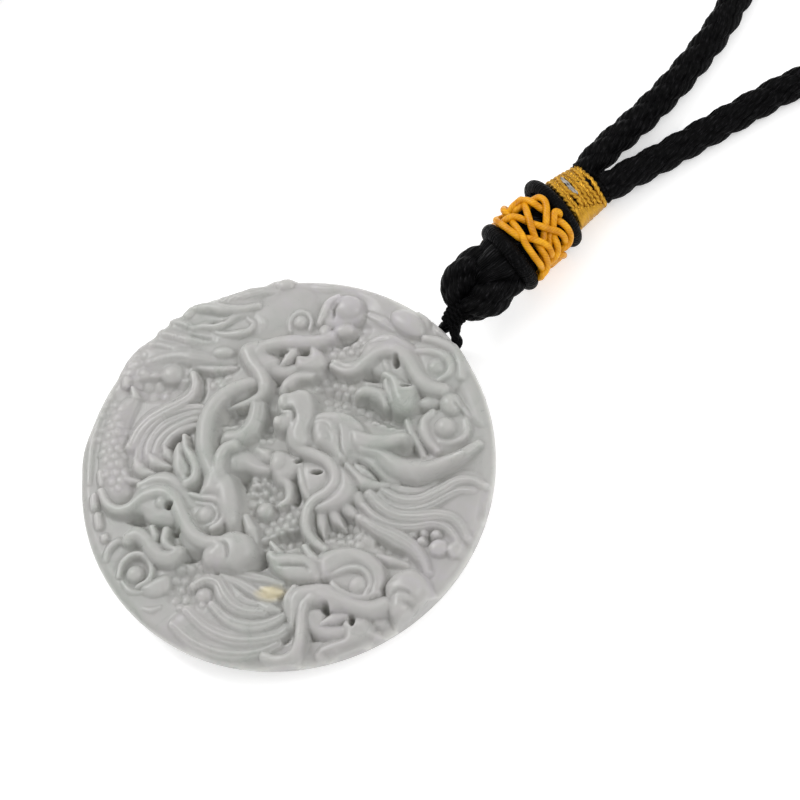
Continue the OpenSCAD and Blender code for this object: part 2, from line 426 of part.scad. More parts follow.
// The numbers of the surface's outermost points, in order round the rim
function rim_numbers(n) = concat(
    [for (i = [0:n - 1]) i * (n + 1)],
    [for (j = [0:n - 1]) n * (n + 1) + j],
    [for (i = [n:-1:1]) i * (n + 1) + n],
    [for (j = [n:-1:1]) j]
);

module carved_stone(n) {
    grid = [for (i = [0:n], j = [0:n]) disc_radius * on_disc(2 * i / n - 1, 2 * j / n - 1)];
    top = [for (p = grid) [p[0], p[1], carved_height(p)]];
    rim = rim_numbers(n);
    m = len(rim);
    sides = [for (w = wall, k = rim) let (p = grid[k] / norm(grid[k])) [w[1] * p[0], w[1] * p[1], w[0]]];
    rings = concat([rim], [for (w = [0:len(wall) - 1]) [for (k = [0:m - 1]) len(top) + w * m + k]]);
    top_faces = [for (i = [0:n - 1], j = [0:n - 1])
        let (a = i * (n + 1) + j, b = a + 1, c = b + n + 1, d = c - 1)
        each [[a, b, c], [a, c, d]]];
    side_faces = [for (w = [0:len(wall) - 1], k = [0:m - 1])
        let (l = (k + 1) % m, a = rings[w][k], b = rings[w][l], c = rings[w + 1][l], d = rings[w + 1][k])
        each [[a, b, c], [a, c, d]]];
    polyhedron(points = concat(top, sides), faces = concat(top_faces, side_faces, [rings[len(wall)]]));
}

// Puts things made along +Z from the origin along the line from a towards b
module along(a, b) {
    v = b - a;
    translate(a) rotate([0, acos(v[2] / norm(v)), atan2(v[1], v[0])]) children();
}

// A smooth line through a route's points, with so many steps between each two
function smooth(p, steps) = concat(
    [for (i = [0:len(p) - 2], k = [0:steps - 1])
        let (
            a = i > 0 ? p[i - 1] : 2 * p[0] - p[1],
            b = p[i],
            c = p[i + 1],
            d = i < len(p) - 2 ? p[i + 2] : 2 * c - b,
            t = k / steps,
            bend = (2 * a - 5 * b + 4 * c - d) + (3 * b - a - 3 * c + d) * t
        )
        b + ((c - a) * t + bend * t * t) / 2],
    [p[len(p) - 1]]
);

function heading(line, i) =
    let (v = line[min(i + 1, len(line) - 1)] - line[max(i - 1, 0)])
    v / norm(v);

// The points of an oval ring round a line's point, of the given half width and half height
function ring(line, i, half_width, half_height, sides) =
    let (
        ahead = heading(line, i),
        side = cross([0, 0, 1], ahead) / norm(cross([0, 0, 1], ahead)),
        above = cross(ahead, side)
    )
    [for (k = [0:sides - 1])
        let (a = 360 * (k + 0.5) / sides)
        line[i] + half_width * cos(a) * side + half_height * sin(a) * above];

// The faces between ring number a and ring number b
function between(a, b, sides) = [for (k = [0:sides - 1])
    let (l = (k + 1) % sides)
    each [[a * sides + k, b * sides + k, b * sides + l], [a * sides + k, b * sides + l, a * sides + l]]];

// One solid with oval rings round each point of a line
module cord(line, half_widths, half_heights, sides = 8) {
    n = len(line);
    polyhedron(
        points = [for (i = [0:n - 1]) each ring(line, i, half_widths[i], half_heights[i], sides)],
        faces = concat(
            [[for (k = [0:sides - 1]) k]],
            [for (i = [0:n - 2]) each between(i, i + 1, sides)],
            [[for (k = [sides - 1:-1:0]) (n - 1) * sides + k]]
        ));
}

// The same, hollow, with a wall of the given thickness and both ends open
module sleeve(line, half_widths, half_heights, wall_thickness, sides = 8) {
    n = len(line);
    polyhedron(
        points = concat(
            [for (i = [0:n - 1]) each ring(line, i, half_widths[i], half_heights[i], sides)],
            [for (i = [n - 1:-1:0])
                each ring(line, i, half_widths[i] - wall_thickness, half_heights[i] - wall_thickness, sides)]
        ),
        faces = [for (i = [0:2 * n - 1]) each between(i, (i + 1) % (2 * n), sides)]);
}

module even_cord(line, diameter, sides = 8) {
    radii = [for (p = line) diameter / 2];
    cord(line, radii, radii, sides);
}

module jade_disc() color([0.76, 0.80, 0.76]) difference() {
    carved_stone(surface_squares);
    translate([-40, -40, -5]) cube([80, 80, 5]);
    for (side = [-1, 1]) {
        turn = side * tunnel_spread / disc_diameter * 114.6 / 2;
        deep = disc_radius - tunnel_depth;
        bottom = [deep * cos(tunnel_heading), deep * sin(tunnel_heading), 3.3];
        mouth = [disc_radius * cos(tunnel_heading + turn), disc_radius * sin(tunnel_heading + turn), 3.8];
        along(bottom, mouth) translate([0, 0, -0.5])
            cylinder(h = tunnel_depth + 2.5, d = tunnel_diameter, $fn = 48);
    }
}

module hanging_loop() color([0.05, 0.05, 0.05]) union() {
    even_cord(smooth(hanging_route, 2), loop_diameter);
    translate(cinch) sphere(cinch_radius, $fn = 48);
}

module cord_bight() color([0.04, 0.04, 0.04]) union() {
    cord(core_line, core_half_widths, core_half_heights, 16);
    cord(left_lobe, left_lobe_sizes, left_lobe_sizes, 12);
    cord(right_lobe, right_lobe_sizes, right_lobe_sizes, 12);
}

// A wound ring of cord with rounded edges, standing along +Z about the origin
module collar(outer) rotate_extrude($fn = 64) translate([outer - 0.6, 0]) {
    translate([-0.6, -collar_length / 2 + 0.5]) square([1.2, collar_length - 1]);
    translate([-0.6, -collar_length / 2]) square([0.6, collar_length]);
    for (z = [-1, 1]) translate([0, z * (collar_length / 2 - 0.5)]) circle(0.5, $fn = 32);
}

module lower_collar() color([0.05, 0.05, 0.05])
    along(lower_collar_at, upper_collar_at) collar(lower_collar_radius);

module upper_collar() color([0.05, 0.05, 0.05])
    along(upper_collar_at, upper_collar_at + knot_line) collar(upper_collar_radius);

// A thin sleeve with two rows of four-sided windows, set half a window apart
module lattice_wrap() color([0.93, 0.72, 0.25])
    along(lower_collar_at + knot_line * (collar_length / 2 + gap), upper_collar_at) difference() {
        inner_radius = lattice_radius - lattice_thickness;
        cylinder(h = lattice_length, r = lattice_radius, $fn = 64);
        translate([0, 0, -1]) cylinder(h = lattice_length + 2, r = inner_radius, $fn = 64);
        for (row = [0, 1], k = [0:lattice_windows - 1]) {
            turn = 360 * (k + row / 2) / lattice_windows;
            up = lattice_length * (row == 0 ? 0.3 : 0.7);
            rotate([0, 0, turn]) translate([0, 0, up]) rotate([0, 90, 0])
                linear_extrude(lattice_radius + 1) polygon([[-1.6, 0], [0, -1.1], [1.6, 0], [0, 1.1]]);
        }
    }

module gold_wrap() color([0.80, 0.62, 0.30])
    sleeve(gold_line, gold_half_widths, gold_half_heights, gold_thickness, 24);

module neck_cord() color([0.05, 0.05, 0.05])
    even_cord(smooth(neck_route, 2), neck_diameter);

jade_disc();
hanging_loop();
cord_bight();
lower_collar();
lattice_wrap();
upper_collar();
gold_wrap();
neck_cord();
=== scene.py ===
"""Looks of a carved jadeite pendant on a knotted cord, built round its CAD frame.

The tables and named values are in millimetres and degrees, and materials are in metres."""
import math
import random
import bpy
import numpy as np
from mathutils import Matrix


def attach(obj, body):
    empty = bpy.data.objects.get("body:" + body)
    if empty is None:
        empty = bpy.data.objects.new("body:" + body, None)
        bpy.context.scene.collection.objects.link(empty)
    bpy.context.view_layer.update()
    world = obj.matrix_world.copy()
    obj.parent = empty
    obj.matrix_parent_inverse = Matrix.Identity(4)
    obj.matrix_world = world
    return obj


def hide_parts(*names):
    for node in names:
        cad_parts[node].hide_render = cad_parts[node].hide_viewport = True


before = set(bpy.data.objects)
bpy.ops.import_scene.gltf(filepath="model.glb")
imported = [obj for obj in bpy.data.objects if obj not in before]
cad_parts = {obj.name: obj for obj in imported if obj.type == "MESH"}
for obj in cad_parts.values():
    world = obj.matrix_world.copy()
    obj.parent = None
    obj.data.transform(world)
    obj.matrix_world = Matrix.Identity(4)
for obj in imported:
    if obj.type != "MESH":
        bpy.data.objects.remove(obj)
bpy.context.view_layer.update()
MM = 0.001

# Camera: where it looks from, and how far it stands from the disc

CAMERA_AZIMUTH = 22.0
CAMERA_ELEVATION = 63.0
CAMERA_ROLL = 2.0
CAMERA_DISTANCE = 440.0
CAMERA_LENS = 150.0
CAMERA_SEES = (0.01, 10.0)          # nearest and furthest distance in metres
SENSOR = 36.0
PICTURE = 800                       # pixels along each side of the picture
DISC_IN_PICTURE = (290.7, 475.1)    # where the disc's middle falls in it
DISC_MIDDLE = (0.0, 0.0, 4.0)


def stand(thing, place, right, up, back):
    """Puts a camera or a lamp at a place; it looks away from its back."""
    bpy.context.scene.collection.objects.link(thing)
    turn = Matrix([list(row) for row in np.stack([right, up, back], axis=1)])
    thing.matrix_world = Matrix.Translation(place * MM) @ turn.to_4x4()


def make_camera():
    """The camera, turned and shifted so that the disc falls where the photograph has it."""
    azimuth, elevation = math.radians(CAMERA_AZIMUTH), math.radians(CAMERA_ELEVATION)
    back = np.array([math.sin(azimuth) * math.cos(elevation),
                     -math.cos(azimuth) * math.cos(elevation),
                     math.sin(elevation)])
    up = np.array([0.0, 1.0, 0.0])
    up -= (up @ back) * back
    up /= np.linalg.norm(up)
    right = np.cross(up, back)
    roll = math.radians(CAMERA_ROLL)
    up, right = (math.cos(roll) * up + math.sin(roll) * right,
                 math.cos(roll) * right - math.sin(roll) * up)
    per_pixel = SENSOR / CAMERA_LENS / PICTURE * CAMERA_DISTANCE
    across = (PICTURE / 2 - DISC_IN_PICTURE[0]) * per_pixel
    above = (DISC_IN_PICTURE[1] - PICTURE / 2) * per_pixel
    eye = np.array(DISC_MIDDLE) + across * right + above * up + CAMERA_DISTANCE * back
    data = bpy.data.cameras.new("camera")
    data.lens, data.sensor_width = CAMERA_LENS, SENSOR
    data.clip_start, data.clip_end = CAMERA_SEES
    camera = bpy.data.objects.new("camera", data)
    stand(camera, eye, right, up, back)
    bpy.context.scene.camera = camera


make_camera()

# The carved face: places read while looking at the disc from above

DISC_RADIUS = 27.8
FACE_HEIGHT = 6.4      # plain face at the middle
RIM_HEIGHT = 6.0       # and near the rim
FACE_DIP_RADIUS = 25.0        # where the plain face has dipped to the rim's height
RIM_ROUND = 1.4        # radius of the rounding at the rim
# bulges of the carved rim: heading, half spread, amount
RIM_BULGES = (
    (150, 75, 0.9), (137, 9, 0.6), (122, 6, 0.4), (112, 5, 0.3), (92, 4, 0.5), (168, 9, 0.25),
    (0, 50, -0.2), (272, 60, -0.3),
)
READ_HEIGHT = 7.0      # height of the plane on which the places were read
SLANT = (0.19, -0.47)  # sideways shift for each millimetre above that plane
# height and radius down the side wall, and the radii of two rings on the flat back
WALL = ((3.8, 27.7), (2.6, 27.0), (1.4, 26.0), (0.5, 24.8), (0.0, 23.8))
BACK_RINGS = (16.0, 8.0)
TUNNEL_HEADING = 38.3
TUNNEL_DIAMETER = 1.9
TUNNEL_DEPTH = 5.4
TUNNEL_SPREAD = 3.1    # between the two mouths, along the rim
TUNNEL_HEIGHTS = (3.3, 3.8)   # at its deepest place, and at its mouths
DRILL_PAST = (0.3, 2.5)       # how far a drill goes past the two
DRILL_SIDES = 32

# Strands: rise over the ground and half widths (start, middle, end), ridges, points
STRANDS = (
    # central dragon
    ("whisker_c", (2.6, 2.2, 1.5), (0.84, 0.86, 0.6), 0,
     ((1.2, 6.4), (0.95, 5), (1.2, 3.6), (2.4, 2.3), (4.2, 1.3), (5.6, 0.2), (6.4, -1.2), (6.4, -2.7),
      (5.4, -4), (3.7, -4.9), (2.7, -6.2), (2.4, -7.9), (2.7, -9.5), (3.7, -11), (4.8, -12))),
    ("bridge_c", (2.3, 1.9, 1.6), (1.44, 1.08, 0.96), 0,
     ((3.1, 7.4), (2.7, 5.6), (2.7, 3.9), (3.7, 2.6))),
    ("lip_c", (2.9, 2.7, 2.5), (0.72, 0.84, 0.96), 0,
     ((-0.2, 9.9), (-0.1, 8.9), (0.6, 8), (0.7, 7), (0.2, 6.3))),
    ("lid_c", (1.9, 2.3, 1.8), (0.36, 0.6, 0.36), 0,
     ((3.1, 4.9), (3.8, 5.8), (5.1, 6.1), (6.2, 5.4), (6.6, 3.9), (6.7, 2.2), (7, 0.7))),
    ("brow_c", (1.9, 2.2, 1.9), (0.6, 0.96, 0.96), 0,
     ((3.4, 6.2), (4.9, 6.7), (6.8, 6.5), (8.4, 5.8), (9.6, 4.5), (10.2, 3.2))),
    ("horn_short_c", (2.2, 2.4, 2.2), (1.2, 1.02, 0.96), 0,
     ((9.6, 3.2), (11.6, 2.5), (13.6, 2.1), (15.5, 2.4))),
    ("horn_long_c", (1.9, 2.5, 0.9), (1.32, 1.74, 0.66), 0,
     ((9.4, 1.8), (11.4, 1.2), (13.2, -0.3), (15.2, -1.7), (17.6, -2.3), (20.2, -2.1), (22.6, -1.3),
      (24.4, -0.4), (25.6, 0.3))),
    ("ear_top_c", (1.6, 1.9, 1), (0.6, 0.72, 0.36), 0,
     ((8.7, 0.7), (10.2, 0.3), (11.6, -0.7), (12.6, -2), (13.6, -3.2), (15, -3.9))),
    ("ear_low_c", (1.6, 1.7, 1), (0.72, 0.96, 0.36), 0,
     ((8.1, -0.8), (9.2, -2.2), (10.4, -3.3), (11.9, -3.9), (13.6, -4.2))),
    ("ear_leaf_c", (1.1, 1.5, 1), (0.36, 0.84, 0.36), 0, ((9.4, -0.9), (10.6, -1.9), (11.7, -3.1))),
    ("tongue_c", (1.7, 1.5, 1.1), (1.08, 0.72, 0.36), 0,
     ((-1.2, 0.6), (-0.7, -1.2), (0.2, -2.4), (0.4, -3.7), (0.1, -4.7), (-0.8, -5.2))),
    ("jaw_c", (1.5, 1.7, 1.4), (0.6, 0.6, 0.48), 0, ((1.9, 0), (2.1, -1.8), (2.5, -3.6), (3, -4.7))),
    ("spike_1", (1.2, 1.1, 0.6), (0.96, 0.72, 0.18), 0, ((9.3, -5.2), (9.9, -6.2), (10.9, -7.4))),
    ("spike_2", (1.2, 1.1, 0.6), (0.96, 0.72, 0.18), 0, ((7.9, -6.6), (8.6, -7.4), (9.7, -8.5))),
    ("spike_3", (1.1, 1, 0.5), (0.84, 0.72, 0.18), 0, ((6.2, -7.2), (6.6, -8.2), (7.5, -9.5))),
    ("spike_4", (1, 0.9, 0.4), (0.84, 0.72, 0.18), 0, ((4.6, -7.2), (4.6, -8.6), (4.9, -10.4))),
    # manes on the right
    ("mane_r0", (0.9, 1, 0.6), (0.5, 0.7, 0.4), 1,
     ((13, -3.6), (15.2, -4.9), (17.6, -5.4), (19.8, -4.7))),
    ("mane_r1", (1.2, 1.5, 0.9), (0.6, 0.95, 0.6), 2,
     ((12.8, -4.7), (15, -6.2), (17.6, -6.6), (20.2, -5.7), (22.6, -4.6), (24.6, -4.7), (26, -5.6))),
    ("mane_r2", (1.1, 1.35, 0.8), (0.5, 0.85, 0.6), 2,
     ((12.2, -5.3), (13.7, -6.9), (16, -7.8), (18.6, -7.6), (20.8, -6.7), (22.8, -6), (24.8, -6.3))),
    ("mane_r3", (1.5, 1.6, 0.9), (0.7, 0.95, 0.7), 2,
     ((11, -5), (12.6, -7), (14.6, -8.4), (17.2, -8.9), (19.8, -9), (21.7, -9.6), (22.9, -11),
      (23.6, -12.6))),
    ("mane_r4", (1.3, 1.35, 0.8), (0.5, 0.75, 0.6), 2,
     ((10.2, -6.6), (11.8, -8.4), (14, -9.7), (16.8, -10.2), (19.2, -10.1), (20.9, -10.8), (22, -12.2),
      (22.7, -13.8))),
    ("mane_r5", (1.4, 1.6, 0.8), (0.6, 1.2, 0.6), 3,
     ((9.6, -8.2), (11.8, -9.9), (14.2, -11.4), (16.2, -13), (17.6, -15), (18.3, -16.9))),
    ("leaf_r", (0.6, 0.8, 0.5), (0.36, 0.9, 0.48), 0, ((11.9, -13.9), (13.5, -14.7), (15.6, -15.6))),
    # left dragon
    ("horn_l", (1.4, 2.4, 2), (0.96, 1.38, 1.32), 0,
     ((-3.8, 13), (-5.6, 12.8), (-7.7, 12.1), (-9.5, 10.6), (-10.6, 8.6), (-11, 6.4), (-11, 4.2),
      (-10.5, 2), (-9.6, 0), (-8.8, -1.6))),
    ("prong_l", (2.2, 2.5, 2.3), (1.2, 0.96, 0.9), 0,
     ((-8.9, -0.8), (-9.1, 1), (-8.9, 2.6), (-8.2, 3.8), (-7, 4.2))),
    ("ear_rim_l", (1.6, 2.1, 2), (0.36, 0.66, 0.72), 0,
     ((-13.7, 6.2), (-13.5, 4.5), (-12.7, 3), (-12.2, 1.4), (-12.5, 0), (-13.5, -0.6))),
    ("ear_leaf_l", (1.2, 1.7, 1.7), (0.36, 0.9, 0.6), 0,
     ((-14.4, 5), (-14.6, 3.2), (-14.4, 1.4), (-13.7, 0))),
    ("whisker_l", (1.4, 2.3, 2.6), (0.54, 1.14, 1.08), 0,
     ((-25.2, -0.4), (-24.4, -2.2), (-22.9, -3.3), (-21.2, -3.1), (-19.6, -1.9), (-17.9, -1.3),
      (-16.3, -1.5), (-15.1, -2.7), (-14.3, -4.6), (-13.5, -6.4), (-12.4, -8.1), (-10.8, -9.2),
      (-9.2, -9.4))),
    ("brow_l", (1.6, 1.9, 1.4), (0.6, 0.96, 0.72), 0,
     ((-19.8, -0.2), (-18.2, 0.4), (-16.6, 0.4), (-15.2, -0.2), (-13.9, -1.8), (-12.8, -3.8))),
    ("lid_l", (1.6, 2.2, 1.9), (0.42, 0.6, 0.48), 0,
     ((-12.8, -2.3), (-11.4, -2.9), (-9.8, -3.2), (-8.6, -4.1), (-8.3, -5.5), (-8.9, -6.8), (-10, -7.4))),
    ("lid2_l", (1.3, 1.7, 1.4), (0.3, 0.42, 0.36), 0,
     ((-12.2, -3.7), (-11, -4), (-9.9, -4.3), (-9.2, -5.4), (-9.6, -6.6), (-10.6, -7.1))),
    ("jaw_l", (1.5, 1.7, 1.5), (0.84, 1.2, 1.08), 0,
     ((-21.5, -7.7), (-20.3, -7.1), (-19.1, -7.9), (-18.2, -9.3), (-17.1, -10.6), (-15.7, -11),
      (-14.8, -10.2))),
    ("tooth_l1", (1.6, 1.6, 1.2), (0.42, 0.48, 0.24), 0, ((-18.2, -6.4), (-17.8, -7.6), (-17.8, -8.9))),
    ("tooth_l2", (1.5, 1.7, 1.4), (0.6, 0.6, 0.36), 0,
     ((-16.3, -7), (-16.5, -8.4), (-15.9, -9.4), (-14.9, -9.9))),
    ("cheek_l", (1.2, 1.5, 1.2), (0.6, 0.96, 0.6), 0,
     ((-19.4, -3.6), (-18.2, -4.8), (-16.8, -5.6), (-15.6, -6))),
    ("ruff_l", (1.1, 1.4, 0.9), (0.6, 0.84, 0.48), 0,
     ((-5.6, -6.4), (-5, -7.8), (-4.4, -9.4), (-4.2, -10.6))),
    # strands between the heads
    ("mane_m1", (1.5, 1.5, 1.2), (1.08, 1.38, 0.96), 3,
     ((-3.7, 9.4), (-4, 7.8), (-4.8, 6.3), (-6.2, 5.2), (-7.9, 4.9))),
    ("mane_m2", (0.5, 0.9, 0.7), (1.08, 1.62, 0.72), 0,
     ((-7.4, 2.4), (-5.9, 2.2), (-4.6, 1.2), (-3.2, 0.2), (-1.8, -0.2))),
    ("mane_m3", (0.7, 1, 0.8), (0.6, 0.96, 0.6), 0, ((-3.9, 2.8), (-2.8, 2), (-1.8, 1.2))),
    ("s_strand", (1.9, 2.2, 0.4), (1.2, 0.9, 0.3), 0,
     ((-5, 17.6), (-4.4, 16), (-3.5, 14.6), (-2.9, 13.2), (-2.8, 11.9), (-3.4, 10.8), (-4.8, 10.1),
      (-6.6, 9.6), (-7.6, 9.3))),
    ("fold_m", (0.6, 0.7, 0.5), (0.36, 0.6, 0.36), 0, ((-7, 10.6), (-5.4, 11.4), (-4, 12.2))),
    # bottom dragon
    ("ear_top_b", (1.7, 1.9, 1.7), (0.6, 0.9, 0.72), 0,
     ((-2.3, -12), (-1.6, -12.8), (0.4, -13), (2.2, -13.4), (3.4, -14.4), (3.7, -15.7))),
    ("ear_low_b", (1.2, 1.6, 1.5), (0.48, 1.02, 0.6), 0,
     ((-2, -13.4), (-0.6, -14.6), (1.2, -15.3), (3.2, -15.9))),
    ("spur_b1", (1, 1.1, 1), (0.24, 0.48, 0.48), 0, ((-2.2, -10.4), (-1.6, -11.3), (-0.8, -12.2))),
    ("spur_b2", (1.5, 1.7, 1.6), (0.54, 0.6, 0.6), 0,
     ((2.3, -11.5), (2.8, -12.4), (3.9, -13.6), (5.1, -14.4))),
    ("brow_b", (1.5, 1.9, 1.8), (0.72, 1.2, 0.84), 0,
     ((4.6, -13.2), (6.4, -13), (8.4, -13.2), (10.2, -14), (11.5, -15.5), (11.9, -17.2), (11.4, -18.6))),
    ("lid_b", (1.5, 2, 1.8), (0.36, 0.54, 0.48), 0,
     ((4.7, -16), (6.4, -15.6), (8, -15.1), (9.6, -15.3), (10.6, -16.4), (10.8, -17.8), (10.2, -18.9))),
    ("lid_low_b", (1.5, 1.8, 1.8), (0.36, 0.48, 0.48), 0,
     ((5.8, -17), (7, -18.2), (8.6, -19.1), (10.2, -19.3), (11.8, -18.9))),
    ("bridge_b", (2, 2.1, 2.3), (0.96, 1.2, 1.32), 0,
     ((2.9, -18.6), (4.6, -18.5), (6.6, -19.1), (8.6, -20.3), (10.7, -20.9), (12.8, -20.6))),
    ("whisker_b", (2, 2, 0.9), (0.84, 0.74, 0.72), 0,
     ((3.2, -18.6), (2.1, -19.3), (1.6, -20.8), (1.5, -22.6), (1.2, -24.4), (0.5, -25.9), (-0.9, -26.6),
      (-2.4, -26.5), (-3.4, -26))),
    ("tusk_b", (1.6, 1.9, 1.4), (0.42, 0.6, 0.36), 0,
     ((0.8, -16.9), (-0.1, -18.2), (-0.2, -19.6), (0, -20.9))),
    ("cheek_b", (1.4, 1.4, 1.2), (0.72, 0.96, 0.84), 0,
     ((1, -17.4), (0.8, -19), (0.7, -20.8), (0.4, -22.2))),
    ("tooth_b1", (1.4, 1.5, 1.2), (0.24, 0.78, 0.6), 0, ((4.3, -22.4), (5.8, -21.8), (7.4, -21.7))),
    ("tooth_b2", (1.3, 1.5, 0.9), (0.6, 1.32, 0.84), 0,
     ((7.6, -22.9), (9.2, -22.9), (10.4, -24), (11.2, -25))),
    ("throat_b", (1.1, 1.2, 1), (0.72, 1.08, 1.08), 0,
     ((2.8, -21), (3.2, -22.6), (5, -23.6), (7.2, -23.8))),
    ("jaw_b", (0.6, 0.9, 0.5), (0.72, 1.2, 0.96), 0,
     ((3.9, -26.8), (4.6, -25.9), (6.6, -25.7), (9, -26))),
    ("mane_b1", (0.9, 1, 0.7), (0.5, 0.8, 0.4), 1,
     ((-9.4, -13.5), (-6.8, -14.2), (-4.4, -15), (-2.4, -15.7), (-0.8, -16.4))),
    ("mane_b2", (1.1, 1.2, 0.9), (0.6, 0.85, 0.6), 1,
     ((-8.8, -14.4), (-6.8, -15.4), (-5, -16.7), (-3.4, -17.9), (-1.8, -18.5))),
    ("mane_b3", (1.2, 1.6, 1.2), (0.6, 1.1, 0.8), 2,
     ((-12.6, -15.2), (-11, -14.5), (-9.4, -15.1), (-8.6, -16.7), (-7.4, -18.4), (-5.6, -19.5),
      (-3.4, -19.9))),
    ("mane_b4", (1, 1.3, 1), (0.48, 0.72, 0.48), 1,
     ((-7.9, -15.4), (-7, -16.9), (-5.8, -18.1), (-4.2, -18.8))),
    ("mane_b5", (1, 1.2, 1), (0.7, 1.15, 0.7), 1,
     ((-10.2, -18.2), (-8.2, -20.4), (-6, -21.6), (-3.8, -21.8), (-2, -21.4), (-0.7, -20.8))),
    ("mane_b6", (0.8, 1, 0.8), (0.8, 1.25, 0.8), 2,
     ((-13.6, -18.6), (-11.4, -21), (-8.8, -22.7), (-6, -23.5), (-3.2, -23.6), (-1.2, -23.2),
      (-0.2, -22.4))),
    ("mane_b7", (0.6, 0.8, 0.6), (0.8, 1.2, 0.8), 2,
     ((-15.4, -20.4), (-13, -22.8), (-10, -24.5), (-7, -25.3), (-4, -25.3), (-1.6, -24.6))),
    ("tip_b1", (1, 1.2, 0.9), (0.36, 0.9, 0.48), 0, ((-3.6, -16.6), (-2.3, -17.3), (-1, -17.6))),
    ("tip_b2", (1, 1.2, 0.9), (0.36, 0.9, 0.48), 0, ((-3.8, -18.8), (-2.4, -19.6), (-1.3, -20))),
    # top dragon
    ("lip_t", (1.6, 1.8, 1.5), (0.84, 1.2, 0.96), 0,
     ((-3.9, 16.6), (-2.9, 17.8), (-1.2, 18.3), (0.8, 18.3), (2.8, 18), (4.8, 17.8), (6.4, 18.4))),
    ("gum_t", (1.3, 1.4, 1.1), (1.08, 1.2, 0.84), 0,
     ((-3.4, 16.6), (-2.3, 15.6), (-1.2, 14.4), (0.3, 13.9), (1.7, 14.2))),
    ("wing_t", (1.4, 1.6, 1.2), (0.5, 0.75, 0.5), 0, ((7.6, 24), (6.4, 23.4), (5.6, 22), (5, 20.6))),
    ("tooth_t1", (1.5, 1.5, 1.1), (0.78, 0.72, 0.36), 0, ((1.3, 16.6), (0.6, 15.8), (-0.2, 14.9))),
    ("tooth_t2", (1.4, 1.5, 1.3), (0.42, 0.72, 0.6), 0, ((2.2, 15.6), (3.4, 15.1), (4.6, 15))),
    ("tooth_t3", (1.3, 1.4, 1.2), (0.54, 0.6, 0.48), 0, ((4, 16.8), (4.2, 15.9), (4.6, 15))),
    ("tongue_t", (1.3, 1.4, 1), (0.72, 0.9, 0.96), 0,
     ((-0.1, 11.2), (0.3, 12.1), (1.5, 12.8), (3.1, 13.1), (4.6, 13.4))),
    ("mane_t1", (0.4, 0.7, 0.4), (0.8, 1, 0.6), 4,
     ((-0.6, 25.8), (-3.2, 26.2), (-6, 25.9), (-8.4, 25.7))),
    ("lid_tl", (0.8, 1.3, 0.9), (0.7, 0.95, 0.6), 0,
     ((-13.4, 24), (-12.2, 24.9), (-10.2, 24.9), (-8, 24.3), (-5.6, 24), (-3.4, 24.2))),
    ("lid_low_tl", (0.6, 1.1, 0.6), (0.5, 0.8, 0.5), 0,
     ((-12.6, 21.9), (-11, 22.1), (-9.4, 22), (-7.8, 22.4), (-6.2, 23), (-4.4, 23))),
    ("curl_tl", (0.5, 1, 0.6), (0.4, 0.65, 0.45), 0,
     ((-9.6, 21), (-8.2, 20.5), (-6.4, 20.4), (-4.8, 20.6), (-4.1, 21.5), (-4.8, 22.3))),
    ("lobe_tl", (0.4, 0.7, 0.3), (0.5, 0.8, 0.5), 1, ((-3.2, 22.4), (-2.6, 21.2), (-3, 20))),
    ("mane_t2", (0.4, 0.8, 0.3), (0.6, 0.9, 0.5), 3,
     ((-16.2, 23.3), (-14.6, 23.2), (-13, 22.4), (-11.6, 21.4), (-10.2, 20.9))),
    ("mane_t3", (0.5, 0.95, 0.3), (0.8, 1.15, 0.7), 4,
     ((-18.2, 21.9), (-16.2, 21.6), (-14.2, 20.8), (-12.2, 20.1), (-9.8, 19.8), (-7.4, 19.4))),
    ("mane_t4", (0.4, 0.85, 0.3), (0.6, 0.9, 0.6), 3,
     ((-18.6, 20.4), (-16.8, 20), (-15.2, 19.4), (-13, 19), (-10.8, 18.7))),
    ("mane_t5", (0.5, 1.1, 0.3), (0.8, 1.2, 0.7), 3,
     ((-18.4, 17.7), (-16.4, 18.2), (-14.2, 18.2), (-12, 17.6), (-9.8, 16.9), (-7.2, 16.2))),
    ("mane_t6", (0.4, 0.8, 0.4), (0.4, 0.6, 0.4), 1,
     ((-12.4, 16.2), (-10.6, 15.7), (-8.6, 15.4), (-6.6, 15.3))),
    # left side
    ("curl_t", (1.2, 1.6, 1.3), (0.5, 0.95, 0.9), 1,
     ((-12.5, 15.2), (-12.2, 13.6), (-12.8, 12), (-14.4, 11), (-16.4, 10.2), (-18.4, 9.2), (-20, 7.6),
      (-21, 5.6))),
    ("fan_1", (1.1, 1.4, 1.1), (0.5, 0.85, 0.7), 1,
     ((-10.8, 10), (-12.4, 10.3), (-14.6, 10.1), (-17, 9.2), (-18.9, 7.6), (-19.9, 5.6), (-20.1, 3.6))),
    ("fan_2", (1, 1.25, 1), (0.45, 0.75, 0.6), 1,
     ((-10.9, 9.3), (-12.4, 9.4), (-14.4, 9), (-16.6, 8.1), (-18.1, 6.5), (-18.8, 4.8), (-18.7, 3.4))),
    ("fan_3", (0.9, 1.1, 0.8), (0.45, 0.7, 0.5), 0,
     ((-10.9, 8.5), (-12.4, 8.5), (-14.2, 8), (-16, 7.1), (-17.3, 5.7), (-17.7, 4.3))),
    ("fan_4", (0.8, 1, 0.7), (0.4, 0.65, 0.5), 0,
     ((-11, 7.5), (-12.5, 7.5), (-14.2, 7.1), (-15.7, 6.2), (-16.5, 4.9))),
    ("hook_1", (1, 1.3, 0.9), (0.48, 0.96, 0.36), 0, ((-20.4, 3.6), (-19.9, 2.3), (-18.7, 1.4))),
    ("hook_2", (0.9, 1.2, 0.8), (0.48, 0.96, 0.48), 0, ((-18.5, 3.8), (-17.9, 2.9), (-16.6, 2.4))),
    ("hook_3", (0.9, 1.1, 0.8), (0.24, 0.72, 0.48), 0, ((-16.5, 4.9), (-16.2, 4), (-15.5, 3))),
